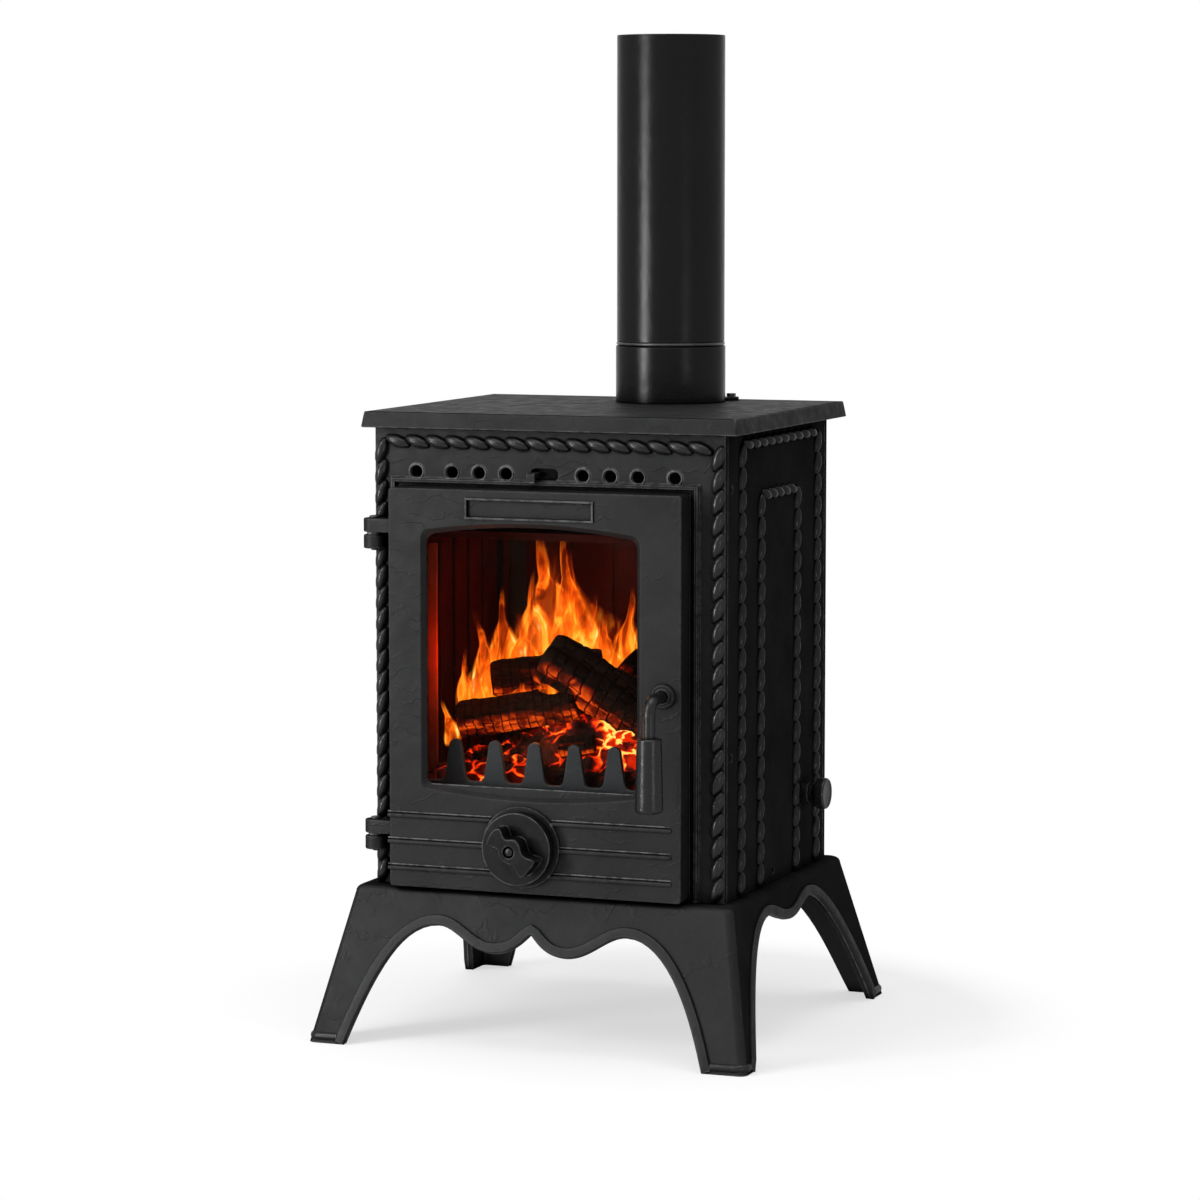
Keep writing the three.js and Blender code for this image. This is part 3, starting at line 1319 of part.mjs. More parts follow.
function riddlingNut() {
  const edge = grateHalfX - riddleEarWidth - gap;
  return rod('x', riddleNutRadius, edge - riddleNutHeight, edge, [0, riddleRodY, riddleRodZ], boltSides)
    .subtract(rod('x', riddleRodRadius + gap, edge - riddleNutHeight - overrun, edge + overrun,
      [0, riddleRodY, riddleRodZ], smallSides));
}

function riddlingKnob() {
  const x1 = knobBackX + knobLength;
  const profile = [[riddleRodRadius + gap, knobBackX], [knobNeckRadius, knobBackX],
    [knobNeckRadius, knobBackX + knobLength / 6], [knobRadius, knobBackX + knobLength / 2],
    [knobRadius, x1 - gripEdge], [knobRadius - gripEdge, x1], [0, x1],
    [0, knobBackX + knobLength / 2 + gap], [riddleRodRadius + gap, knobBackX + knobLength / 2 + gap],
    [riddleRodRadius + gap, knobBackX]];
  return turned('x', profile, [0, riddleRodY, riddleRodZ], roundSides);
}

function rodBush() {
  const face = halfWidth + gap;
  const bore = riddleRodRadius + gap;
  const profile = [[bore, innerX], [bushSpigotRadius, innerX], [bushSpigotRadius, face], [bushRadius, face],
    [bushRadius, face + bushHeight - gripEdge / 2], [bushRadius - gripEdge / 2, face + bushHeight],
    [bore, face + bushHeight], [bore, innerX]];
  return turned('x', profile, [0, riddleRodY, riddleRodZ], roundSides);
}

function ashPan() {
  const x0 = panShiftX - panWidth / 2;
  const x1 = panShiftX + panWidth / 2;
  const y0 = panShiftY - panDepth / 2;
  const y1 = panShiftY + panDepth / 2;
  const z0 = baseTop + gap;
  const z1 = z0 + panHeight;
  const tray = carve(block(x0, x1, y0, y1, z0, z1),
    block(x0 + panWall, x1 - panWall, y0 + panWall, y1 - panWall, z0 + panWall, z1 + overrun));
  const lip = block(panShiftX - panGripWidth / 2, panShiftX + panGripWidth / 2, y0 - panGripReach,
      y0 + panWall / 2,
    z1 - panWall, z1);
  return tray.add(lip);
}

// Liners, baffle and log retainer

function sideLiner(side) {
  const face = side * (innerX - gap);
  const inner = side * (innerX - gap - linerThickness);
  const y0 = -innerY + linerFrontSpace;
  const y1 = innerY - 2 * tieInset;
  const z0 = hearthTop + gap;
  const plate = block(Math.min(face, inner), Math.max(face, inner), y0, y1, z0, linerTop);
  const ribs = Array.from({ length: linerRibCount }, (_, rib) => {
    const y = y0 + ((rib + 1) * (y1 - y0)) / (linerRibCount + 1);
    const tip = inner - side * linerRib;
    return block(Math.min(tip, face), Math.max(tip, face), y - linerRib, y + linerRib, z0,
        linerTop - linerThickness);
  });
  return join(plate, ribs);
}

function rearLiner() {
  const x = innerX - 2 * tieInset;
  const y1 = innerY - gap;
  const y0 = y1 - linerThickness;
  const z0 = hearthTop + gap;
  const plate = block(-x, x, y0, y1, z0, linerTop);
  const ribs = Array.from({ length: linerRibCount }, (_, rib) => {
    const place = -x + ((rib + 1) * 2 * x) / (linerRibCount + 1);
    return block(place - linerRib, place + linerRib, y0 - linerRib, y1, z0, linerTop - linerThickness);
  });
  return join(plate, ribs);
}

function bafflePlate() {
  return block(-innerX + 2 * gap, innerX - 2 * gap, -innerY + baffleFrontSpace, innerY - 2 * tieInset - gap,
    linerTop + gap, linerTop + gap + baffleThickness);
}

function logRetainer() {
  const y0 = frontInnerY + retainerSetback;
  const y1 = y0 + retainerThickness;
  const z0 = hearthTop + gap;
  const z1 = z0 + retainerBarHeight;
  let retainer = block(-retainerHalfLength, retainerHalfLength, y0, y1, z0, z1);
  const sink = retainerBarHeight / 2;
  for (let tooth = 0; tooth < toothCount; tooth += 1) {
    const x = toothShift + (tooth - (toothCount - 1) / 2) * toothPitch;
    const shape = new THREE.Shape();
    const neck = z1 + toothHeight - toothTip / 2;
    shape.moveTo(x - toothBase / 2, z1 - sink);
    shape.lineTo(x + toothBase / 2, z1 - sink);
    shape.lineTo(x + toothBase / 2, z1);
    shape.lineTo(x + toothTip / 2, neck);
    shape.absarc(x, neck, toothTip / 2, 0, Math.PI, false);
    shape.lineTo(x - toothBase / 2, z1);
    shape.closePath();
    retainer = retainer.add(prism('y', shape, y0, y1, toothSteps));
  }
  const foot = block(-retainerHalfLength, retainerHalfLength, y0, y0 + 2 * retainerThickness, z0,
    z0 + retainerThickness / 2);
  return retainer.add(foot);
}

// Fire: an ember bed and the logs that have settled into it

function bedHeight(x, y) {
  const across = (x / bedHalfLength - bedMoundShares.x) / bedMoundShares.reachX;
  const deep = (y / innerY - bedMoundShares.y) / bedMoundShares.reachY;
  return hearthTop + gap + bedDepth + bedMound * Math.exp(-across * across - deep * deep);
}

function emberHeap() {
  const y0 = frontInnerY + retainerSetback + 2 * retainerThickness + bedFrontSpace;
  const y1 = innerY - bedRearSpace;
  const foot = hearthTop + gap;
  const rings = [];
  for (let column = 0; column <= bedColumns; column += 1) {
    const x = bedHalfLength * ((2 * column) / bedColumns - 1);
    const endShare = column === 0 || column === bedColumns ? bedEdgeShare : 1;
    const ring = [new THREE.Vector3(x, y0, foot), new THREE.Vector3(x, y1, foot)];
    for (let row = bedRows; row >= 0; row -= 1) {
      const y = y0 + ((y1 - y0) * row) / bedRows;
      const edgeShare = row === 0 || row === bedRows ? Math.min(bedEdgeShare * 2, endShare) : endShare;
      ring.push(new THREE.Vector3(x, y, foot + (bedHeight(x, y) - foot) * edgeShare));
    }
    rings.push(ring);
  }
  return loft(rings, (point) => new THREE.Vector2(point.y, point.z));
}

// A split log between two places, grown outward by a clearance when it cuts its bed in a neighbour.
const logPlace = ([x, y, z]) => new THREE.Vector3(x * bedHalfLength, y * innerY,
    hearthTop + gap + z * bedHalfLength);

function fireLog(log, grow) {
  const radius = log.radius * bedHalfLength;
  const start = logPlace(log.from);
  const run = logPlace(log.to).sub(start);
  const length = run.length();
  run.normalize();
  const side = new THREE.Vector3().crossVectors(up, run).normalize();
  const lift = new THREE.Vector3().crossVectors(run, side);
  const ringAt = (travel, reach) => logSectionShares.map((share, step) => {
    const angle = THREE.MathUtils.degToRad(logTwist) + (2 * Math.PI * step) / logSectionShares.length;
    return start.clone().addScaledVector(run, travel)
      .addScaledVector(side, reach * share * Math.cos(angle)).addScaledVector(lift,
          reach * share * Math.sin(angle));
  });
  const end = radius * logEndShare + grow;
  const middles = logTaperShares.map((share, step) => {
    const place = step / (logTaperShares.length - 1);
    return ringAt(logEnd + (length - 2 * logEnd) * place, radius * share + grow);
  });
  const rings = [ringAt(-grow, end), ...middles, ringAt(length + grow, end)];
  return loft(rings, (point) => new THREE.Vector2(point.dot(side), point.dot(lift)));
}

// Each log in the list rests in its place, and every later piece is cut clear of the ones before it.
function fireSolids() {
  const laid = [];
  const pieces = fireLogShares.map((log) => {
    const piece = carve(fireLog(log, 0), laid.map((other) => fireLog(other, gap)));
    laid.push(log);
    return [`log_${log.name}`, piece];
  });
  const heap = carve(emberHeap(), fireLogShares.map((log) => fireLog(log, gap)));
  return [...pieces, ['ember_heap', heap]];
}

// Assembly

addPiece('leg_frame', legFrame(), materials.iron);
addPiece('base_plate', basePlate(), materials.iron);
addPiece('front_plate', frontPlate(), materials.iron);
addPiece('left_side_plate', sidePlate(-1), materials.iron);
addPiece('right_side_plate', sidePlate(1), materials.iron);
addPiece('back_plate', backPlate(), materials.iron);
addPiece('top_plate', topPlate(), materials.iron);
addPiece('hob_lid', hobLid(), materials.iron);
addPiece('flue_collar', flueCollar(), materials.flue);
addPiece('flue_pipe', fluePipe(), materials.flue);
collarBoltPlaces().forEach((place, index) => {
  addPiece(index === 0 ? 'collar_bolt_right' : 'collar_bolt_left', collarBolt(place), materials.steel);
});
const tieNames = ['front_left', 'front_right', 'rear_left', 'rear_right'];
tiePlaces().forEach((place, index) => {
  addPiece(`tie_rod_${tieNames[index]}`, tieRod(place), materials.steel);
});

addPiece('door', doorCasting(), materials.iron);
addPiece('door_seal', doorSeal(), materials.rope);
addPiece('door_glass', doorGlass(), materials.glass);
addPiece('glass_clip_upper', glassClip(true), materials.steel);
addPiece('glass_clip_lower', glassClip(false), materials.steel);
for (const [name, x, z] of clipScrewPlaces()) addPiece(`clip_screw_${name}`, clipScrew(x, z),
    materials.steel);
['upper', 'lower'].forEach((name, index) => {
  addPiece(`hinge_pin_${name}`, hingePin(hingeLevels[index]), materials.steel);
  addPiece(`hinge_washer_${name}`, hingeWasher(hingeLevels[index]), materials.steel);
});

addPiece('door_handle', doorHandle(), materials.iron);
addPiece('handle_grip', handleGrip(), materials.iron);
addPiece('handle_escutcheon', escutcheon(), materials.iron);
addPiece('latch_tongue', latchTongue(), materials.steel);
addPiece('latch_nut', latchNut(), materials.steel);
addPiece('door_keeper', doorKeeper(), materials.steel);

addPiece('air_spinner', airSpinner(), materials.iron);
addPiece('spinner_washer', spinnerWasher(), materials.steel);
addPiece('spinner_stud', spinnerStud(), materials.steel);
addPiece('spinner_nut', spinnerNut(), materials.steel);
addPiece('air_slider', airSlider(), materials.iron);
addPiece('slider_rail_upper', sliderRail(true), materials.steel);
addPiece('slider_rail_lower', sliderRail(false), materials.steel);

addPiece('hearth_plate', hearthPlate(), materials.iron);
addPiece('riddling_grate', riddlingGrate(), materials.iron);
addPiece('riddling_rod', riddlingRod(), materials.steel);
addPiece('riddling_nut', riddlingNut(), materials.steel);
addPiece('riddling_knob', riddlingKnob(), materials.iron);
addPiece('rod_bush', rodBush(), materials.iron);
addPiece('ash_pan', ashPan(), materials.steel);
addPiece('left_liner', sideLiner(-1), materials.liner);
addPiece('right_liner', sideLiner(1), materials.liner);
addPiece('rear_liner', rearLiner(), materials.liner);
addPiece('baffle_plate', bafflePlate(), materials.iron);
addPiece('log_retainer', logRetainer(), materials.iron);
for (const [name, piece] of fireSolids()) {
  addPiece(name, piece, name === 'ember_heap' ? materials.ember : materials.wood);
}

// The handle reaches further forward than the toes, so the whole is moved to stand over the middle of
// its box.
const frontReach = halfDepth + doorStandoff + doorDepth + handleStandoff + gripFootRadius;
const rearReach = halfDepth + shoulderBack + splayBack + lipRaise;
stove.position.y = (frontReach - rearReach) / 2;
stove.updateMatrixWorld(true);

export default stove;
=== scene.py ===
# Cast iron wood stove: the finished look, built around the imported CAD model.
# Lengths are millimetres in the stove's own frame. They turn into metres where a mesh is made.
import math
import random

import bmesh
import bpy
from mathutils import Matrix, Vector, noise
from mathutils.geometry import tessellate_polygon


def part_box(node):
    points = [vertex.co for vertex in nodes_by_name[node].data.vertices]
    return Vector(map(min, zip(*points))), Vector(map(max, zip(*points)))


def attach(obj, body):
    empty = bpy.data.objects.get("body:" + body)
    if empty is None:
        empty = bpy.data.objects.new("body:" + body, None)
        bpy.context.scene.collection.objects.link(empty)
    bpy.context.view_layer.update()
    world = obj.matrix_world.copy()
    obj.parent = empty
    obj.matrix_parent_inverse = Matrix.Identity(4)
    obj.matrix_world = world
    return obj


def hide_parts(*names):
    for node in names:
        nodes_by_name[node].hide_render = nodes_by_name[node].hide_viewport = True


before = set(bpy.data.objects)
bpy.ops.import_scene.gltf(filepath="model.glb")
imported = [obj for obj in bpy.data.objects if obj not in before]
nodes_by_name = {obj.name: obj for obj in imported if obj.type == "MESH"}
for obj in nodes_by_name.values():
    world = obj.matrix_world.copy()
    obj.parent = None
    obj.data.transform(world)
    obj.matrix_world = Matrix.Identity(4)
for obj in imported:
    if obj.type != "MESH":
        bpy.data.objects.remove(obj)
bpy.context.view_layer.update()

scene = bpy.context.scene
MM = 0.001

# Sizes shared with the CAD
HALF_W = 208.0
HALF_D = 177.5
DECK = 173.0
BODY_LOW = 173.3
BODY_TOP = 688.0
WALL = 8.0
FRONT = -HALF_D
DOOR_BACK = -182.0
DOOR_FACE = -211.0
DOOR_L = -178.0
DOOR_R = 169.0
DOOR_LOW = 176.0
DOOR_TOP = 624.0
DOOR_LIP = 9.5
WIN_X = -9.0
WIN_HALF = 125.0
WIN_LOW = 285.0
WIN_TOP = 583.0
PIN_X = -203.0
PIN_Y = -192.0
HINGE_LEVELS = (571.0, 231.0)
HANDLE_X = 148.5
HANDLE_Z = 404.4
HANDLE_Y = -255.0
SPIN_X = -18.5
SPIN_Z = 228.5
SPIN_BACK = -220.5
SPIN_FACE = -228.5
SPIN_TIP = -250.5
BOSS_R = 46.0
VENT_Z = 640.0
VENT_X = -4.0
VENT_R = 6.5
LEVER_SLOT_HALF = 16
VENT_PLACES = [VENT_X + side * offset for offset in (45.5, 78.0, 110.5, 153.5) for side in (-1, 1)]
PLATE_LOW = 688.3
PLATE_TOP = 706.3
LID_X = -44.0
LID_Y = -14.0
FLUE_X = 34.3
FLUE_Y = 124.0
PIPE_R = 62.5
ROD_Y = 96.0
ROD_Z = 259.5
CORNERS = [(sx, sy) for sx in (-1, 1) for sy in (-1, 1)]

lid_low, lid_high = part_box("hob_lid")
SHIFT_Y = (lid_low.y + lid_high.y) / 2 / MM - LID_Y


# Mesh making

class Shell:
    """Vertices in millimetres and faces, gathered before a mesh is made."""

    def __init__(self):
        self.verts = []
        self.faces = []

    def add(self, verts, faces):
        base = len(self.verts)
        self.verts += [tuple(v) for v in verts]
        self.faces += [tuple(base + i for i in face) for face in faces]
        return self

    def join(self, other):
        return self.add(other.verts, other.faces)


def on_axis(axis, u, v, level):
    if axis == "y":
        return (u, level, v)
    if axis == "x":
        return (level, u, v)
    return (u, v, level)


def turned_point(axis, a, b, height, place):
    x, y, z = place
    if axis == "x":
        return (x + height, y + a, z + b)
    if axis == "y":
        return (x + a, y + height, z + b)
    return (x + a, y + b, z + height)


def quads(rows, count, wraps=True):
    """Faces between neighbouring rows of count points each. Rows can wrap round."""
    faces = []
    for row in range(rows - 1):
        for k in range(count if wraps else count - 1):
            a = row * count + k
            b = row * count + (k + 1) % count
            faces.append((a, b, b + count, a + count))
    return faces


def close_cap(shell, loops):
    """A flat face with holes, over pairs of a loop and the index of its first vertex."""
    flat = [[Vector((u, v, 0)) for u, v in loop] for loop, _ in loops]
    index = [base + k for loop, base in loops for k in range(len(loop))]
    for triangle in tessellate_polygon(flat):
        shell.faces.append(tuple(index[i] for i in triangle))


def offset_loop(points, amount):
    """A counterclockwise loop moved inward by an amount, with mitred corners."""
    moved = []
    count = len(points)
    for i, (x, y) in enumerate(points):
        ax, ay = points[i - 1]
        bx, by = points[(i + 1) % count]
        first = Vector((x - ax, y - ay)).normalized()
        second = Vector((bx - x, by - y)).normalized()
        mitre = Vector((-first.y - second.y, first.x + second.x))
        scale = 2 * amount / max(mitre.length_squared, 0.8)
        moved.append((x + mitre.x * scale, y + mitre.y * scale))
    return moved


def edge_rings(back, front, back_round, front_round, steps):
    """Pairs of inset and level from the back face to the front face, round at both ends."""
    side = 1 if front > back else -1
    turns = [math.pi / 2 * k / steps for k in range(steps + 1)]
    rings = []
    for angle in turns if back_round > 0 else turns[-1:]:
        inset = back_round * (1 - math.sin(angle))
        rings.append((inset, back + side * back_round * (1 - math.cos(angle))))
    for angle in turns if front_round > 0 else turns[:1]:
        inset = front_round * (1 - math.cos(angle))
        rings.append((inset, front - side * front_round * (1 - math.sin(angle))))
    return rings


def plate(axis, outer, back, front, back_round, front_round, holes=(), hole_rounds=(), steps=3):
    """A slab with holes and rounded edges. Loops are lists of (u, v)."""
    shell = Shell()
    rounds = [front_round] + list(hole_rounds or [front_round] * len(holes))
    caps = ([], [])
    for loop, front_edge in zip([outer, *holes], rounds):
        area = sum(a[0] * b[1] - b[0] * a[1] for a, b in zip(loop, loop[1:] + loop[:1]))
        ccw = loop if area > 0 else loop[::-1]
        sign = 1 if loop is outer else -1
        rings = edge_rings(back, front, back_round, front_edge, steps)
        loops = [offset_loop(ccw, sign * inset) for inset, _ in rings]
        base = len(shell.verts)
        verts = [on_axis(axis, u, v, level) for moved, (_, level) in zip(loops, rings) for u, v in moved]
        shell.add(verts, quads(len(rings), len(ccw)))
        caps[0].append((loops[0], base))
        caps[1].append((loops[-1], base + len(ccw) * (len(rings) - 1)))
    for cap in caps:
        close_cap(shell, cap)
    return shell


def skin(rings):
    """Faces over rings of points with equal counts, capped at both ends."""
    count = len(rings[0])
    faces = quads(len(rings), count)
    faces.append(tuple(range(count - 1, -1, -1)))
    faces.append(tuple((len(rings) - 1) * count + k for k in range(count)))
    return Shell().add([point for ring in rings for point in ring], faces)


def soften(profile, radius, steps=3):
    """A polyline of (r, h) with each inner corner rounded by up to a radius."""
    closed = profile[0] == profile[-1]
    points = [Vector(p) for p in (profile[:-1] if closed else profile)]
    count = len(points)
    result = []
    for i, point in enumerate(points):
        if not closed and i in (0, count - 1):
            result.append(tuple(point))
            continue
        before = points[i - 1] - point
        after = points[(i + 1) % count] - point
        reach = min(radius, before.length * 0.45, after.length * 0.45)
        start = point + before.normalized() * reach
        end = point + after.normalized() * reach
        for k in range(steps + 1):
            t = k / steps
            result.append(tuple(start * (1 - t) ** 2 + point * 2 * t * (1 - t) + end * t ** 2))
    if closed:
        result.append(result[0])
    return result


def lathe(axis, profile, place, sides=64):
    """A revolved profile of (radius, height along the axis). It is closed, or starts and ends on the axis."""
    closed = profile[0] == profile[-1]
    rows = profile[:-1] if closed else profile
    shell = Shell()
    index = []
    for radius, height in rows:
        count = 1 if radius < 1e-6 else sides
        index.append([len(shell.verts) + k % count for k in range(sides)])
        for k in range(count):
            angle = 2 * math.pi * k / sides
            a, b = radius * math.cos(angle), radius * math.sin(angle)
            shell.verts.append(turned_point(axis, a, b, height, place))
    for row in range(len(index) if closed else len(index) - 1):
        low = index[row]
        high = index[(row + 1) % len(index)]
        for k in range(sides):
            nxt = (k + 1) % sides
            face = tuple(dict.fromkeys((low[k], low[nxt], high[nxt], high[k])))
            if len(face) > 2:
                shell.faces.append(face)
    return shell


def circle(u, v, radius, sides=32):
    turns = [2 * math.pi * k / sides for k in range(sides)]
    return [(u + radius * math.cos(turn), v + radius * math.sin(turn)) for turn in turns]


def arc(u, v, radius, start, sweep, steps):
    """Points on an arc round (u, v), with its angles in degrees."""
    turns = [math.radians(start + sweep * k / steps) for k in range(steps + 1)]
    return [(u + radius * math.cos(turn), v + radius * math.sin(turn)) for turn in turns]


def rect(u0, u1, v0, v1):
    return [(u0, v0), (u1, v0), (u1, v1), (u0, v1)]


def rounded_rect(u0, u1, v0, v1, radius, steps=5):
    left, right, low, high = u0 + radius, u1 - radius, v0 + radius, v1 - radius
    corners = ((right, low, -90), (right, high, 0), (left, high, 90), (left, low, 180))
    return [point for u, v, start in corners for point in arc(u, v, radius, start, 90, steps)]


def quadratic(a, b, c, steps):
    """Points on a curve from a toward c, without the last one."""
    return [tuple((1 - t) ** 2 * p + 2 * t * (1 - t) * q + t * t * r for p, q, r in zip(a, b, c))
            for t in (k / steps for k in range(steps))]


def cubic(a, b, c, d, steps):
    points = []
    for k in range(steps + 1):
        t = k / steps
        s = 1 - t
        points.append(tuple(s ** 3 * p + 3 * s * s * t * q + 3 * s * t * t * r + t ** 3 * w
                            for p, q, r, w in zip(a, b, c, d)))
    return points


def chaikin(points):
    """A closed loop with each corner cut off at a quarter of its sides."""
    cut = []
    for a, b in zip(points, points[1:] + points[:1]):
        cut.append((a[0] * 0.75 + b[0] * 0.25, a[1] * 0.75 + b[1] * 0.25))
        cut.append((a[0] * 0.25 + b[0] * 0.75, a[1] * 0.25 + b[1] * 0.75))
    return cut


def headings(path):
    """The direction that a path of vectors takes at each of its points."""
    last = len(path) - 1
    return [(path[min(i + 1, last)] - path[max(i - 1, 0)]).normalized() for i in range(len(path))]


def make_object(name, shell, weld=True):
    mesh = bpy.data.meshes.new(name)
    verts = [(x * MM, (y + SHIFT_Y) * MM, z * MM) for x, y, z in shell.verts]
    mesh.from_pydata(verts, [], shell.faces)
    work = bmesh.new()
    work.from_mesh(mesh)
    if weld:
        bmesh.ops.remove_doubles(work, verts=work.verts, dist=1e-6)
        bmesh.ops.dissolve_degenerate(work, edges=work.edges, dist=1e-7)
    bmesh.ops.recalc_face_normals(work, faces=work.faces)
    work.to_mesh(mesh)
    work.free()
    obj = bpy.data.objects.new(name, mesh)
    scene.collection.objects.link(obj)
    return obj


def cut_away(name, base, cutters):
    """The base with all cutters taken away, as one new object."""
    obj = make_object(name, base)
    helpers = []
    for number, cutter in enumerate(cutters):
        helper = make_object(f"helper_{number}", cutter)
        helpers.append(helper)
        step = obj.modifiers.new(f"step_{number}", "BOOLEAN")
        step.operation = "DIFFERENCE"
        step.object = helper
        step.solver = "EXACT"
    bpy.context.view_layer.update()
    graph = bpy.context.evaluated_depsgraph_get()
    mesh = bpy.data.meshes.new_from_object(obj.evaluated_get(graph))
    obj.modifiers.clear()
    old = obj.data
    obj.data = mesh
    bpy.data.meshes.remove(old)
    for helper in helpers:
        data = helper.data
        bpy.data.objects.remove(helper)
        bpy.data.meshes.remove(data)
    return obj


def finish_edges(obj, bevel, angle):
    """Smooth shading with rounded edges where faces meet at more than an angle."""
    obj.data.shade_smooth()
    obj.data.set_sharp_from_angle(angle=math.radians(angle))
    if bevel > 0:
        rounding = obj.modifiers.new("rounding", "BEVEL")
        rounding.width = bevel * MM
        rounding.segments = 2
        rounding.limit_method = "ANGLE"
        rounding.angle_limit = math.radians(angle)
        rounding.miter_outer = "MITER_ARC"
        rounding.harden_normals = False
    weights = obj.modifiers.new("weights", "WEIGHTED_NORMAL")
    weights.keep_sharp = bevel == 0
    weights.mode = "FACE_AREA"


# The slot of each finish. Any other finish fills cast_black
SLOTS = {
    "satin_black_skin": "flue_black",
    "firelit_iron_skin": "cast_fire",
    "firelit_flange_iron_skin": "cast_fire",
    "dark_steel": "steel_dark",
    "pan_steel_sheet": "pan_steel",
    "seal_rope_fibre": "seal_rope",
    "stove_glass_pane": "stove_glass",
    "ember_bed": "ember_ash",
    "charred_wood": "charred_wood",
    "flame_bright": None,
    "flame_soft": None,
}


def slot_of(material):
    """The slot of a finish. Blender adds a number to a name that the CAD's materials already use."""
    return SLOTS.get(material.name.partition(".")[0], "cast_black")


def settle(obj, material, body, *stands_for, angle=38.0, bevel=0.0):
    """A piece gets its finish, rides its body and stands for the CAD nodes that it replaces."""
    obj.data.materials.clear()
    obj.data.materials.append(material)
    finish_edges(obj, bevel, angle)
    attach(obj, body)
    if stands_for:
        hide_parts(*stands_for)


def piece(name, shell, material, body, *stands_for, angle=38.0):
    """A settled piece made from a shell."""
    settle(make_object(name, shell), material, body, *stands_for, angle=angle)


# Materials

class Graph:
    """The node tree of a material or a world. An input takes a number, a colour or another node's output."""

    def __init__(self, owner):
        owner.use_nodes = True
        self.owner = owner
        self.tree = owner.node_tree
        self.tree.nodes.clear()

    def node(self, kind, inputs=None, **settings):
        node = self.tree.nodes.new("ShaderNode" + kind)
        for key, value in settings.items():
            setattr(node, key, value)
        for key, item in (inputs or {}).items():
            socket = node.inputs[key]
            if isinstance(item, bpy.types.NodeSocket):
                self.tree.links.new(item, socket)
            elif isinstance(item, tuple) and len(socket.default_value) == 4:
                socket.default_value = (*item, 1.0)
            else:
                socket.default_value = item
        return node

    def finish(self, kind, shader):
        self.node(kind, {"Surface": shader.outputs[0]})
        return self.owner

    def skin(self, inputs):
        return self.finish("OutputMaterial", self.node("BsdfPrincipled", inputs))

    def coords(self, kind="Object"):
        return self.node("TexCoord").outputs[kind]

    def noise(self, vector, scale, detail=3.0, roughness=0.5, distortion=0.0, output="Fac"):
        inputs = {"Vector": vector, "Scale": scale, "Detail": detail, "Roughness": roughness,
                  "Distortion": distortion}
        return self.node("TexNoise", inputs).outputs[output]

    def ramp(self, value, *stops):
        node = self.node("ValToRGB", {"Fac": value})
        elements = node.color_ramp.elements
        while len(elements) < len(stops):
            elements.new(0.5)
        for element, (place, colour) in zip(elements, stops):
            element.position = place
            element.color = (*colour, 1.0) if isinstance(colour, tuple) else (colour, colour, colour, 1.0)
        return node.outputs["Color"]

    def spread(self, value, low, high, to_low=0.0, to_high=1.0):
        inputs = {"Value": value, "From Min": low, "From Max": high, "To Min": to_low, "To Max": to_high}
        return self.node("MapRange", inputs, interpolation_type="SMOOTHSTEP").outputs["Result"]

    def maths(self, way, *items):
        return self.node("Math", dict(enumerate(items)), operation=way).outputs[0]

    def product(self, first, *others):
        for item in others:
            first = self.maths("MULTIPLY", first, item)
        return first

    def mix(self, factor, a, b, way="MIX"):
        return self.node("Mix", {0: factor, 6: a, 7: b}, data_type="RGBA", blend_type=way).outputs[2]

    def stretched(self, vector, scale):
        return self.node("Mapping", {"Vector": vector, "Scale": scale}).outputs["Vector"]

    def warped(self, vector, scale, reach):
        """The vector pushed about by noise."""
        jitter = self.noise(vector, scale, output="Color")
        push = self.node("VectorMath", {0: jitter, "Scale": reach}, operation="SCALE").outputs[0]
        return self.node("VectorMath", {0: vector, 1: push}, operation="ADD").outputs[0]

    def bump(self, height, strength, distance, normal=None):
        inputs = {"Height": height, "Strength": strength, "Distance": distance}
        if normal is not None:
            inputs["Normal"] = normal
        return self.node("Bump", inputs).outputs["Normal"]

    def nearby(self, distance, inside):
        """How open the space near the surface is. A look inside the piece finds its sharp edges."""
        node = self.node("AmbientOcclusion", {"Distance": distance}, samples=6, inside=inside)
        node.only_local = inside
        return node.outputs["AO"]

    def seen_direct(self):
        """One for rays of the camera, and for mirrored and refracted rays, that see the background."""
        path = self.node("LightPath").outputs
        bent = self.maths("MAXIMUM", path["Is Glossy Ray"], path["Is Transmission Ray"])
        return self.maths("MAXIMUM", path["Is Camera Ray"], bent)


def new_look(name):
    return Graph(bpy.data.materials.new(name))


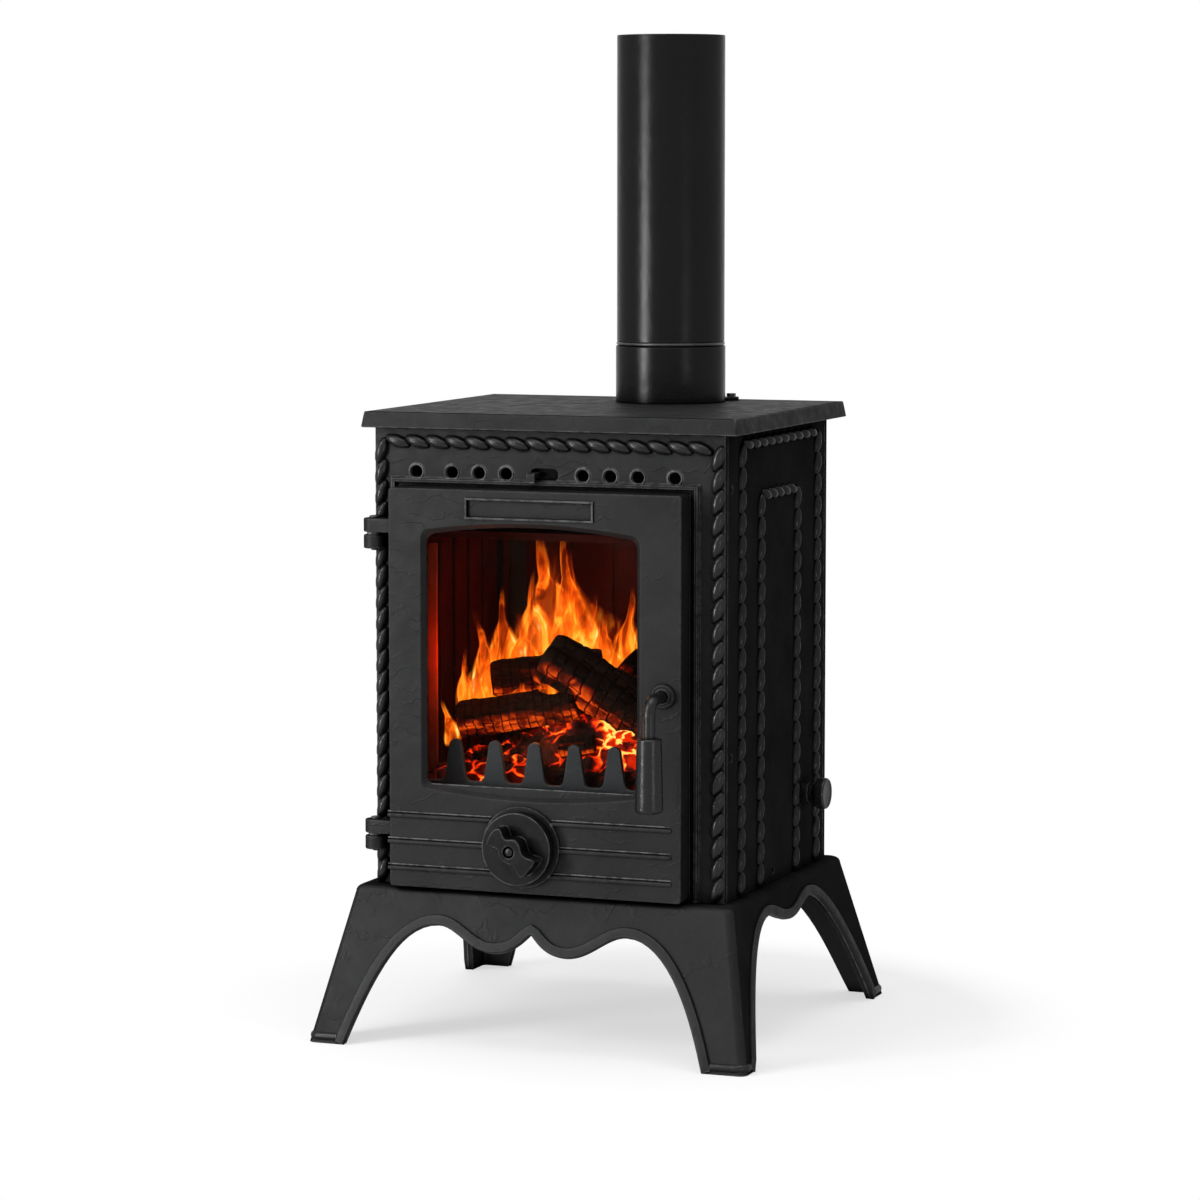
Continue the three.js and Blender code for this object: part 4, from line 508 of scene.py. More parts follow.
def iron(name, dark, light, rough, specular, wear_and_highlight, swirl, matte, edge_wear_and_highlight):
    """Painted cast iron: mottled colour, fine grain, faint casting swirls, lighter edges that are partly worn
    paint and partly painted highlight, and painted shade in crevices.
    """
    look = new_look(name)
    place = look.coords()
    patches = look.noise(place, 14.0, 4.0, 0.6)
    specks = look.noise(place, 420.0, 2.0, 0.7)
    base = look.ramp(patches, (0.3, dark), (0.7, light))
    base = look.mix(look.product(look.spread(specks, 0.62, 0.78), 0.08), base, wear_and_highlight)
    # Lighter edges: partly worn paint, partly a painted highlight along the edges.
    edges = look.spread(look.nearby(0.0018, True), 0.92, 0.6)
    chips = look.spread(look.noise(place, 90.0, 3.0, 0.65), 0.36, 0.6, 0.25, 1.0)
    base = look.mix(look.product(edges, chips, edge_wear_and_highlight), base, wear_and_highlight)
    # Painted shade: colour and gloss are darkened where other surfaces come near, in creases, recesses and
    # between parts.
    painted_crevice_shade = look.spread(look.nearby(0.018, False), 0.2, 0.85, 0.08, 1.0)
    base = look.mix(1.0, base, painted_crevice_shade, "MULTIPLY")
    facing = look.node("LayerWeight", {"Blend": 0.5}).outputs["Facing"]
    gloss = look.spread(facing, 0.12, 0.6, specular, specular * (1 - matte))
    grain = look.bump(look.noise(place, 900.0, 3.0, 0.6), 0.28, 0.0004)
    ring_inputs = {"Vector": place, "Scale": 21.0, "Distortion": 9.0, "Detail": 3.0, "Detail Scale": 1.6}
    waves = look.node("TexWave", ring_inputs, wave_type="RINGS").outputs["Fac"]
    lines = look.ramp(waves, (0.0, 1.0), (0.07, 0.0), (1.0, 0.0))
    lines_seen = look.product(lines, look.spread(look.noise(place, 22.0, 2.0), 0.45, 0.6))
    marks = look.bump(lines_seen, swirl, 0.0006, grain)
    return look.skin({
        "Base Color": base,
        "Roughness": look.spread(look.noise(place, 55.0, 4.0, 0.6), 0.3, 0.7, *rough),
        "Specular IOR Level": look.product(gloss, painted_crevice_shade),
        "Normal": look.bump(look.noise(place, 38.0, 3.0, 0.55), 0.22, 0.0022, marks),
    })


def plain_metal(name, dark, light, rough, scale):
    """Machined or drawn steel with a slight stain and fine scratches."""
    look = new_look(name)
    place = look.coords()
    return look.skin({
        "Base Color": look.ramp(look.noise(place, scale, 4.0, 0.6), (0.3, dark), (0.7, light)),
        "Roughness": look.spread(look.noise(place, scale * 2.5, 3.0, 0.6), 0.3, 0.7, *rough),
        "Metallic": 0.85,
        "Specular IOR Level": 0.35,
        "Normal": look.bump(look.noise(place, 700.0, 2.0, 0.6), 0.15, 0.0003),
    })


def rope_seal_material():
    look = new_look("seal_rope_fibre")
    weave = look.noise(look.coords(), 300.0, 4.0, 0.7)
    return look.skin({
        "Base Color": look.ramp(weave, (0.3, 0.012), (0.7, 0.045)),
        "Roughness": look.spread(weave, 0.3, 0.7, 0.85, 1.0),
        "Normal": look.bump(weave, 0.6, 0.0008),
    })


def glass_material():
    look = new_look("stove_glass_pane")
    haze = look.noise(look.coords(), 9.0, 3.0, 0.6)
    return look.skin({
        "Base Color": look.ramp(haze, (0.3, (0.05, 0.03, 0.02)), (0.7, (0.09, 0.06, 0.045))),
        "Roughness": look.spread(haze, 0.3, 0.7, 0.03, 0.08),
        "Alpha": look.spread(haze, 0.45, 0.8, 0.008, 0.03),
        "Specular IOR Level": 0.5,
    })


CAST_DARK = (0.0080, 0.0082, 0.0085)
CAST_LIGHT = (0.0138, 0.0141, 0.0144)
# Colour of the specks, and of worn edges that also carry a painted highlight.
CAST_WEAR_AND_HIGHLIGHT = (0.16, 0.16, 0.162)
cast_black = iron("cast_black_skin", CAST_DARK, CAST_LIGHT, (0.4, 0.55), 0.105, CAST_WEAR_AND_HIGHLIGHT,
                  swirl=0.55, matte=1.0, edge_wear_and_highlight=0.75)
top_black = iron("top_black_skin", CAST_DARK, CAST_LIGHT, (0.44, 0.6), 0.105, CAST_WEAR_AND_HIGHLIGHT,
                 swirl=0.6, matte=0.72, edge_wear_and_highlight=0.7)
trim_black = iron("trim_black_skin", CAST_DARK, CAST_LIGHT, (0.34, 0.48), 0.14, CAST_WEAR_AND_HIGHLIGHT,
                  swirl=0.3, matte=0.85, edge_wear_and_highlight=0.75)
rope_black = iron("rope_black_skin", (0.0065, 0.0067, 0.0069), (0.0105, 0.0107, 0.0109), (0.22, 0.33), 0.22,
                  CAST_WEAR_AND_HIGHLIGHT, swirl=0.12, matte=0.8, edge_wear_and_highlight=0.0)
# A darker copy of the rope finish for the side ropes: the darker colour is painted shade on the stove's
# shaded side.
side_rope_shaded_black = iron("side_rope_shaded_black_skin", (0.0042, 0.0044, 0.0046), (0.0075, 0.0077, 0.0079),
                       (0.18, 0.27), 0.15, CAST_WEAR_AND_HIGHLIGHT, swirl=0.1, matte=0.86, edge_wear_and_highlight=0.0)
satin_black = iron("satin_black_skin", (0.0016, 0.0017, 0.0018), (0.0028, 0.0029, 0.0030), (0.2, 0.26), 0.13,
                   (0.03, 0.03, 0.032), swirl=0.02, matte=0.7, edge_wear_and_highlight=0.5)
grip_black = iron("grip_black_skin", (0.0060, 0.0062, 0.0064), (0.0095, 0.0097, 0.0099), (0.22, 0.32), 0.24,
                  (0.08, 0.08, 0.082), swirl=0.15, matte=0.8, edge_wear_and_highlight=0.4)
spinner_black = iron("spinner_black_skin", (0.0030, 0.0031, 0.0033), (0.0055, 0.0057, 0.0059), (0.26, 0.36),
                     0.12, CAST_WEAR_AND_HIGHLIGHT, swirl=0.15, matte=0.6, edge_wear_and_highlight=1.0)
# Iron inside the firebox, with the fire's red light painted into its colour.
firelit_iron = iron("firelit_iron_skin", (0.012, 0.0010, 0.0005), (0.026, 0.0028, 0.0014), (0.7, 0.9), 0.03,
                 (0.06, 0.008, 0.003), swirl=0.2, matte=1.0, edge_wear_and_highlight=0.4)
# The liner's flange beside the window, with bright red firelight painted into its colour.
firelit_flange_iron = iron("firelit_flange_iron_skin", (0.10, 0.010, 0.002), (0.22, 0.022, 0.004), (0.7, 0.9), 0.03,
                   (0.3, 0.05, 0.01), swirl=0.2, matte=1.0, edge_wear_and_highlight=0.3)
retainer_iron = iron("retainer_iron_skin", (0.012, 0.0135, 0.0145), (0.020, 0.022, 0.0235), (0.45, 0.6), 0.12,
                     (0.12, 0.125, 0.13), swirl=0.25, matte=0.6, edge_wear_and_highlight=0.7)
steel_dark = plain_metal("dark_steel", (0.03, 0.03, 0.031), (0.06, 0.06, 0.062), (0.32, 0.5), 60.0)
pan_steel = plain_metal("pan_steel_sheet", (0.10, 0.10, 0.102), (0.17, 0.17, 0.173), (0.35, 0.55), 30.0)

# CAD nodes that stay: finish, width of the rounded edges, and names
KEPT_NODES = (
    (cast_black, 0.6, "base_plate"),
    (cast_black, 0.8, "back_plate"),
    (steel_dark, 0.2, "spinner_washer"),
    (steel_dark, 0.3, "hinge_washer_upper hinge_washer_lower latch_nut spinner_nut riddling_nut"),
    (steel_dark, 0.3, "clip_screw_lower_left clip_screw_lower_right"),
    (steel_dark, 0.3, "clip_screw_upper_left clip_screw_upper_right"),
    (steel_dark, 0.4, "collar_bolt_left collar_bolt_right glass_clip_upper glass_clip_lower door_keeper"),
    (steel_dark, 0.4, "spinner_stud slider_rail_upper slider_rail_lower riddling_rod"),
    (steel_dark, 0.5, "latch_tongue"),
    (rope_seal_material(), 1.2, "door_seal"),
    (glass_material(), 0.4, "door_glass"),
    (firelit_iron, 0.6, "hearth_plate riddling_grate"),
    (firelit_iron, 0.8, "baffle_plate"),
    (firelit_iron, 1.2, "left_liner right_liner rear_liner"),
    (firelit_iron, 0.3, "tie_rod_front_left tie_rod_front_right tie_rod_rear_left tie_rod_rear_right"),
    (pan_steel, 0.4, "ash_pan"),
)
for finish, edge, names in KEPT_NODES:
    for node_name in names.split():
        node = nodes_by_name[node_name]
        node.data.materials.clear()
        node.data.materials.append(finish)
        finish_edges(node, edge, 40.0)
        is_rod = node_name.startswith("tie_rod")
        "steel_dark" if is_rod else slot_of(finish)


# Rope mouldings

ROPE_R = 7.9
ROPE_LEAN = -0.9
ROPE_ACROSS = 14
ROPE_ALONG = 12
ROPE_VALLEY = 0.4
ROPE_SUNK = 1.5
ROPE_PINCH = 3.0
ROPE_PITCH = 23.4
SIDE_ROPE_R = 7.0
SIDE_VALLEY = 0.22
SIDE_PITCH = 24.6
UP = (0, 0, 1)
RIGHT = (1, 0, 0)
REAR = (0, 1, 0)
ROPE_FOOT = BODY_LOW + 3
FRONT_TOP = BODY_TOP - 14.5
FRONT_IN = HALF_W - 8.3
PANEL_HALF = 63.5


def rope(start, along, out, length, pitch, radius=ROPE_R, valley=ROPE_VALLEY):
    """A half-round strip of plump twisted lobes, with its feet sunk into the plate."""
    start, along, out = Vector(start), Vector(along), Vector(out)
    across = out.cross(along)
    lobes = max(2, round(length / pitch))
    step = length / lobes
    turns = [math.pi * j / ROPE_ACROSS for j in range(ROPE_ACROSS + 1)]
    rings = []
    for k in range(lobes * ROPE_ALONG + 1):
        phase = (k % ROPE_ALONG) / ROPE_ALONG
        size = radius * (1 - (1 - valley) * abs(2 * phase - 1) ** ROPE_PINCH)
        section = [(size * math.cos(turn), size * math.sin(turn)) for turn in turns]
        section += [(-size, -ROPE_SUNK), (size, -ROPE_SUNK)]
        ring = []
        for side, height in section:
            place = start + along * (k / ROPE_ALONG * step + ROPE_LEAN * side)
            ring.append(tuple(place + across * side + out * height))
        rings.append(ring)
    return skin(rings)


def front_ropes():
    shell = Shell()
    out = (0, -1, 0)
    for side in (-1, 1):
        foot = (side * FRONT_IN, FRONT, ROPE_FOOT)
        shell.join(rope(foot, UP, out, FRONT_TOP + 1 - ROPE_FOOT, ROPE_PITCH))
    left = (-FRONT_IN + ROPE_R, FRONT, FRONT_TOP)
    return shell.join(rope(left, RIGHT, out, 2 * (FRONT_IN - ROPE_R), ROPE_PITCH))


def side_ropes(side):
    """An outer frame of ropes and a lower one inside it, both open at the foot."""
    shell = Shell()
    face = side * HALF_W
    out = (side, 0, 0)
    look = (SIDE_PITCH, SIDE_ROPE_R, SIDE_VALLEY)
    high, low = BODY_TOP - 13, BODY_TOP - 73
    front, rear = -HALF_D + 49, HALF_D - 41
    for y, top in ((front, high), (-PANEL_HALF, low), (PANEL_HALF, low), (rear, high)):
        shell.join(rope((face, y, ROPE_FOOT), UP, out, top + 1 - ROPE_FOOT, *look))
    for y0, y1, top in ((front, rear, high), (-PANEL_HALF, PANEL_HALF, low)):
        shell.join(rope((face, y0 + ROPE_R, top), REAR, out, y1 - y0 - 2 * ROPE_R, *look))
    return shell


# Leg frame

SHOULDER = DECK - 8
SHOULDER_ROUND = 8
LEG_WALL = 9
SIDE_OUT = HALF_W + 18
SIDE_SPLAY = 34.3
FRONT_OUT = HALF_D + 26
FRONT_SPLAY = 52.7
REAR_OUT = HALF_D + 13
REAR_SPLAY = 58.7
ARCH_STEPS = 16
LIP_WIDTH = 11
LIP_RAISE = 3.6
LIP_FOOT_RAISE = 1.9
LIP_SUNK = 3
LIP_PROFILE = ((-0.2, -1), (-0.2, 0.45), (0.5, 0.86), (1.4, 1), (LIP_WIDTH - 1.3, 1), (LIP_WIDTH - 0.4, 0.8),
               (LIP_WIDTH, 0.35), (LIP_WIDTH, -1))
TOE_Z = 7.0
TOE_HALF_WIDTH = 4.9
TOE_HALF_HEIGHT = 5.2


def leg_ring(z, grow, radius, steps=6):
    """The outline of the splayed wall at a height, moved outward by an amount."""
    lean = (SHOULDER - z) / SHOULDER
    x = SIDE_OUT + SIDE_SPLAY * lean + grow
    front = -FRONT_OUT - FRONT_SPLAY * lean - grow
    rear = REAR_OUT + REAR_SPLAY * lean + grow
    return [(u, v, z) for u, v in rounded_rect(-x, x, front, rear, radius, steps)]


def arch_half(side, foot, apex, top, lobe, low, mid, shift, shares):
    """Half of an arch's edge, from its foot to the middle. The lobe hangs between apex and middle."""
    def at(u, v, moves):
        return (side * u + moves * shift, v)

    (u1, v1), (u2, v2) = shares
    points = [at(foot, -5, 0.5)]
    points += cubic(at(foot, 0, 0.5), at(foot * u1, top * v1, 0.5), at(foot * u2, top * v2, 1),
                    at(apex, top, 1), ARCH_STEPS)
    points += cubic(at(apex, top, 1), at((2 * apex + lobe) / 3, top, 1),
                    at((apex + 2 * lobe) / 3 + (apex - lobe) / 12, low, 1), at(lobe, low, 1), ARCH_STEPS)[1:]
    if lobe > 0:
        points += cubic(at(lobe, low, 1), at(lobe / 2, low, 1), at(lobe / 4, (low + mid) / 2, 1),
                        at(0, mid, 1), ARCH_STEPS)[1:]
    return points


def arch_edge(**arch):
    return arch_half(1, **arch) + arch_half(-1, **arch)[::-1][1:]


FRONT_ARCH = arch_edge(foot=213, apex=112, top=135, lobe=44, low=109, mid=131.5, shift=-6,
                       shares=((0.92, 0.37), (0.775, 1)))
REAR_ARCH = arch_edge(foot=219, apex=112, top=135, lobe=44, low=109, mid=131.5, shift=0,
                      shares=((0.88, 0.47), (0.8, 1)))
SIDE_ARCH = arch_edge(foot=216, apex=71.5, top=148, lobe=0, low=133.5, mid=133.5, shift=-21.5,
                      shares=((0.856, 0.405), (0.616, 1)))


def wall_skin(axis, side, out, splay):
    """The map from (u along a splayed wall, v above the floor, height off the wall) to a point."""
    slope = splay / SHOULDER
    length = math.hypot(1, slope)

    def to_skin(u, v, height):
        lean = (SHOULDER - v) / SHOULDER
        level = side * (out + splay * lean + height / length)
        return on_axis(axis, u, v + height * slope / length, level)
    return to_skin


def lip(edge, to_skin):
    """A raised band along an arch edge. It is lower near the floor and ends there."""
    rings = []
    for (u, v), run in zip(edge, headings([Vector(point) for point in edge])):
        lift = min(LIP_RAISE, LIP_FOOT_RAISE + 0.2 * v)
        normal = Vector((run.y, -run.x))
        ring = []
        for w, h in LIP_PROFILE:
            x, y, z = to_skin(u + normal.x * w, v + normal.y * w, h * (lift if h > 0 else LIP_SUNK))
            ring.append((x, y, max(z, 0.0)))
        rings.append(ring)
    return skin(rings)


def leg_lips():
    shell = Shell()
    for edge, to_skin in ((FRONT_ARCH, wall_skin("y", -1, FRONT_OUT, FRONT_SPLAY)),
                          (REAR_ARCH, wall_skin("y", 1, REAR_OUT, REAR_SPLAY)),
                          (SIDE_ARCH, wall_skin("x", 1, SIDE_OUT, SIDE_SPLAY)),
                          (SIDE_ARCH, wall_skin("x", -1, SIDE_OUT, SIDE_SPLAY))):
        shell.join(lip(edge[1:-1], to_skin))
    return shell


def leg_frame():
    """The splayed wall with its round shoulder, hollow inside and cut by the four arches."""
    rings = [leg_ring(0, 0, 9), leg_ring(SHOULDER, 0, 9)]
    for k in range(1, 6):
        angle = math.pi / 2 * k / 5
        inset = SHOULDER_ROUND * (1 - math.cos(angle))
        z = SHOULDER + SHOULDER_ROUND * math.sin(angle)
        rings.append([(x, y, z) for x, y, _ in leg_ring(SHOULDER, -inset, 9)])
    reach = HALF_W + HALF_D
    hole = rounded_rect(-HALF_W + 46, HALF_W - 46, -HALF_D + 44, HALF_D - 44, 6)
    return cut_away("leg_frame_wall", skin(rings), [
        skin([leg_ring(-5, -LEG_WALL, 4.5), leg_ring(SHOULDER, -LEG_WALL, 4.5)]),
        plate("y", FRONT_ARCH, -reach, 0, 0, 0),
        plate("y", REAR_ARCH, 0, reach, 0, 0),
        plate("x", SIDE_ARCH, -reach, reach, 0, 0),
        plate("z", hole, SHOULDER - 5, DECK + 5, 0, 0),
    ])


def toe_path(sx, sy):
    """The line of a toe's bead, round the outer corner from one arch to the next."""
    ring = [Vector(p) for p in leg_ring(TOE_Z, -2.6, 9, 8)]
    corner = [p for p in ring if p.x * sx > 200 and p.y * sy > 200]
    corner.sort(key=lambda p: math.atan2(p.y, p.x))
    first, last = corner[0], corner[-1]
    arch = FRONT_ARCH if sy < 0 else REAR_ARCH
    end_x = sx * max(sx * arch[0][0], sx * arch[-1][0]) + sx * 9
    end_y = sy * max(sy * SIDE_ARCH[0][0], sy * SIDE_ARCH[-1][0]) + sy * 9
    face_end = Vector((end_x, max(first.y, last.y, key=abs), TOE_Z))
    side_end = Vector((max(first.x, last.x, key=abs), end_y, TOE_Z))
    if abs(first.y) > abs(last.y):
        return [face_end, *corner, side_end]
    return [side_end, *corner, face_end]


def toe_beads():
    """Rounded bars round the outer corner of each toe."""
    shell = Shell()
    for sx, sy in CORNERS:
        path = toe_path(sx, sy)
        rings = []
        for point, run in zip(path, headings(path)):
            away = Vector((run.y, -run.x, 0))
            if away.dot(Vector((sx, sy, 0))) < 0:
                away = -away
            section = circle(0, 0, 1, 12)
            rings.append([tuple(point + away * (TOE_HALF_WIDTH * a) + Vector((0, 0, TOE_HALF_HEIGHT * b)))
                          for a, b in section])
        shell.join(skin(rings))
    return shell


settle(leg_frame(), cast_black, "stove", "leg_frame", angle=38.0, bevel=0.9)
piece("leg_frame_lip", leg_lips(), trim_black, "stove", angle=50)
piece("leg_frame_toe_beads", toe_beads(), grip_black, "stove", angle=60)


# Front casting

KNUCKLE_R = 12
KNUCKLE_GAP = 1.5
KNUCKLE_HEIGHT = 15.5
KNUCKLE_ROUND = 1.6
SURROUND_GAP = 4.5
SURROUND_SECTION = soften([(0, 1.5), (0, -5.0), (3.9, -5.0), (4.1, -2.6), (5.5, -2.4), (5.5, 1.5), (0, 1.5)],
                          0.7, 2)[:-1]


def body_knuckle(level):
    """A barrel with its arm, below the pin's middle."""
    points = arc(PIN_X, PIN_Y, KNUCKLE_R, 150, 240, 16)
    points += [(PIN_X + 6, FRONT + 4), (PIN_X - 6, FRONT + 4)]
    low = level - KNUCKLE_GAP - KNUCKLE_HEIGHT
    return plate("z", points, low, level - KNUCKLE_GAP, KNUCKLE_ROUND, KNUCKLE_ROUND)


def door_knuckle(level):
    """A barrel with its arm, above the pin's middle."""
    points = arc(PIN_X, PIN_Y, KNUCKLE_R, 90, 180, 12)
    points += [(DOOR_L + 3, PIN_Y - 12), (DOOR_L + 3, PIN_Y + 6), (PIN_X + 10.4, PIN_Y + 6),
               (PIN_X + 6, PIN_Y + 10.4)]
    high = level + KNUCKLE_GAP + KNUCKLE_HEIGHT
    return plate("z", points, level + KNUCKLE_GAP, high, KNUCKLE_ROUND, KNUCKLE_ROUND)


def surround():
    """The stepped bead on the right of the door, above it and on its left, open at the hinges."""
    left = DOOR_L - SURROUND_GAP
    right = DOOR_R + SURROUND_GAP
    top = DOOR_TOP + SURROUND_GAP
    foot = BODY_LOW + 0.5
    upper, lower = HINGE_LEVELS
    shell = Shell()
    for path in ([(right, foot, 1, 0), (right, top, 1, 1), (left, top, -1, 1), (left, upper + 20, -1, 0)],
                 [(left, upper - 20, -1, 0), (left, lower + 20, -1, 0)],
                 [(left, lower - 20, -1, 0), (left, foot, -1, 0)]):
        shell.join(skin([[(u + nu * w, FRONT + h, v + nv * w) for w, h in SURROUND_SECTION]
                         for u, v, nu, nv in path]))
    return shell


def front_casting():
    vents = [circle(x, VENT_Z, VENT_R) for x in VENT_PLACES]
    slot = rounded_rect(VENT_X - LEVER_SLOT_HALF, VENT_X + LEVER_SLOT_HALF, VENT_Z - VENT_R,
                        VENT_Z + VENT_R, 5.5)
    opening = rect(DOOR_L + DOOR_LIP, DOOR_R - DOOR_LIP, DOOR_LOW + DOOR_LIP, DOOR_TOP - DOOR_LIP)
    outer = rect(-HALF_W, HALF_W, BODY_LOW, BODY_TOP)
    shell = plate("y", outer, FRONT + WALL, FRONT, 0.8, 1.2, [*vents, slot, opening],
                  [1.6] * len(vents) + [1.4, 0.8])
    shell.join(surround())
    rim = soften([(7.7, 1.0), (7.7, -1.3), (8.9, -1.3), (9.7, 1.0), (7.7, 1.0)], 0.5, 2)
    for x in VENT_PLACES:
        shell.join(lathe("y", rim, (x, FRONT, VENT_Z), 32))
    for level in HINGE_LEVELS:
        shell.join(body_knuckle(level))
    return shell


piece("front_casting", front_casting(), cast_black, "stove", "front_plate")
piece("front_rope_moulding", front_ropes(), rope_black, "stove", angle=75)


# Side castings

SIDE_SKIN = 2.5
SIDE_INSET = 8.3
LEDGE_LOW = 257.7
LEDGE_HIGH = 263.7


def side_casting(side):
    """The plate in two layers: the outer one has three blind dimples. On the right the rod passes both."""
    outer = rect(-HALF_D + SIDE_INSET, HALF_D - SIDE_INSET, BODY_LOW, BODY_TOP)
    dimples = [circle(-HALF_D + 21, DECK + raise_by, 4, 20) for raise_by in (159, 455)]
    dimples.append(circle(-10, DECK + 11.5, 3.6, 20))
    holes = [circle(ROD_Y, ROD_Z, 8.3)] if side > 0 else []
    rounds = [1.3] * len(dimples) + [0.6] * len(holes)
    face = side * HALF_W
    middle = face - side * SIDE_SKIN
    back = side * (HALF_W - WALL)
    shell = plate("x", outer, middle, face, 0, 1.0, dimples + holes, rounds)
    shell.join(plate("x", outer, back, middle, 0.5, 0, holes))
    ledge = rect(-HALF_D + 48, HALF_D - 48, LEDGE_LOW, LEDGE_HIGH)
    return shell.join(plate("x", ledge, back, side * (HALF_W - WALL - 6), 0, 0.6))


for side, word in ((-1, "left"), (1, "right")):
    piece(f"{word}_side_casting", side_casting(side), cast_black, "stove", f"{word}_side_plate")
    piece(f"{word}_rope_moulding", side_ropes(side), side_rope_shaded_black, "stove", angle=75)


# Top plate, lid and flue

TOP_PROFILE = ((1.2, PLATE_LOW), (0.35, PLATE_LOW + 0.35), (0.0, PLATE_LOW + 1.2), (1.6, PLATE_LOW + 9),
               (3.0, PLATE_TOP - 2.4), (3.35, PLATE_TOP - 1.3), (4.0, PLATE_TOP - 0.45),
               (5.0, PLATE_TOP - 0.1), (6.0, PLATE_TOP))
FLUE_HOLE = ((57.5, PLATE_LOW), (57.5, PLATE_TOP - 0.6), (58.1, PLATE_TOP))
LID_HOLE = ((55.0, PLATE_LOW), (55.0, PLATE_TOP - 8), (62.3, PLATE_TOP - 8), (62.3, PLATE_TOP - 0.8),
            (63.1, PLATE_TOP))
COLLAR_LOW = PLATE_TOP + 0.3
COLLAR_TOP = COLLAR_LOW + 65
PIPE_LOW = COLLAR_TOP + 5.3
PIPE_TOP = PIPE_LOW + 352.5
PIPE_SIDES = 96
HOLE_SIDES = 72


def top_casting():
    """The chamfered plate with the flue's hole, the lid's stepped hole and four bosses below."""
    base = rounded_rect(-HALF_W - 15.4, HALF_W + 15.4, -HALF_D - 6.5, HALF_D + 28.5, 3.5, 4)
    walls = [[(offset_loop(base, inset), z) for inset, z in TOP_PROFILE]]
    for x, y, rows in ((FLUE_X, FLUE_Y, FLUE_HOLE), (LID_X, LID_Y, LID_HOLE)):
        walls.append([(circle(x, y, radius, HOLE_SIDES), z) for radius, z in rows])
    shell = Shell()
    caps = ([], [])
    for rows in walls:
        start = len(shell.verts)
        count = len(rows[0][0])
        shell.add([(u, v, z) for loop, z in rows for u, v in loop], quads(len(rows), count))
        caps[0].append((rows[0][0], start))
        caps[1].append((rows[-1][0], start + (len(rows) - 1) * count))
    for cap in caps:
        close_cap(shell, cap)
    boss = soften([(0, PLATE_LOW - 12), (9, PLATE_LOW - 12), (9, PLATE_LOW + 4), (0, PLATE_LOW + 4)], 1)
    for sx, sy in CORNERS:
        shell.join(lathe("z", boss, (sx * (HALF_W - 20), sy * (HALF_D - 20), 0), 32))
    return shell


def collar_ear(turn):
    """An ear with a round end, in a direction given in degrees."""
    angle = math.radians(turn)
    run = Vector((math.cos(angle), math.sin(angle)))
    aside = Vector((-run.y, run.x))
    centre = Vector((FLUE_X, FLUE_Y))
    points = [centre + run * 60 - aside * 13, centre + run * 70 - aside * 9.5]
    for k in range(13):
        a = -math.pi / 2 + math.pi * k / 12
        points.append(centre + run * (76 + 9 * math.cos(a)) + aside * 9 * math.sin(a))
    points += [centre + run * 70 + aside * 9.5, centre + run * 60 + aside * 13]
    return plate("z", [tuple(p) for p in points], COLLAR_LOW, COLLAR_LOW + 4, 0.4, 1.0)


def collar_shell():
    inner = PIPE_R - 5
    rim = PIPE_R + 1.2
    spigot = PIPE_R - 2.4
    profile = [(inner, COLLAR_LOW), (rim, COLLAR_LOW), (rim, COLLAR_TOP), (spigot, COLLAR_TOP),
               (spigot, COLLAR_TOP + 30), (inner, COLLAR_TOP + 30), (inner, COLLAR_LOW)]
    shell = lathe("z", soften(profile, 1.0), (FLUE_X, FLUE_Y, 0), PIPE_SIDES)
    return shell.join(collar_ear(41)).join(collar_ear(139))


def pipe_ring(profile, radius, steps=3):
    return lathe("z", soften(profile, radius, steps), (FLUE_X, FLUE_Y, 0), PIPE_SIDES)


def joint_bead():
    inner = PIPE_R - 2.8
    outer = PIPE_R - 0.1
    low = COLLAR_TOP + 0.9
    high = COLLAR_TOP + 4.6
    return pipe_ring([(inner, low), (outer, low), (PIPE_R + 0.7, COLLAR_TOP + 2.8), (outer, high),
                      (inner, high), (inner, low)], 0.7)


def pipe_tube():
    inner = PIPE_R - 1.8
    return pipe_ring([(inner, PIPE_LOW), (PIPE_R, PIPE_LOW), (PIPE_R, PIPE_TOP), (inner, PIPE_TOP),
                      (inner, PIPE_LOW)], 0.5)


def hob_lid():
    low, step, top = PLATE_TOP - 11.7, PLATE_TOP - 7.7, PLATE_TOP - 0.1
    profile = soften([(0, low), (54.4, low), (54.4, step), (61.7, step), (61.7, top), (0, top)], 1.0)
    return lathe("z", profile, (LID_X, LID_Y, 0), HOLE_SIDES)


piece("top_casting", top_casting(), top_black, "stove", "top_plate")
piece("hob_lid_disc", hob_lid(), top_black, "lid", "hob_lid")
piece("flue_collar_casting", collar_shell(), satin_black, "stove", "flue_collar")
piece("flue_joint_bead", joint_bead(), steel_dark, "stove")
piece("flue_pipe_tube", pipe_tube(), satin_black, "stove", "flue_pipe")


# Door

FIELD_HALF = 76
FIELD_RIM = 2.4
FIELD_Z1 = DOOR_TOP - 9
FIELD_Z0 = FIELD_Z1 - 23.5
PANE_Y = -198.7
DOOR_SKIN = 8
SLEEVE_BORE = 6.9
BAR_FIRST = 21
BAR_PITCH = 29.7
BAR_SUNK = 1.5
PILLAR_OUT = 14.8
WINDOW_STEPS = 14
WINDOW_RINGS = ((7.5, -1.5), (6.0, -0.02), (4.9, 0.35), (4.2, 1.2), (3.2, 2.4), (0.6, 5.2),
                (0.0, 6.2), (0.0, 14))


def door_rect(inset, radius):
    return rounded_rect(DOOR_L + inset, DOOR_R - inset, DOOR_LOW + inset, DOOR_TOP - inset, radius)


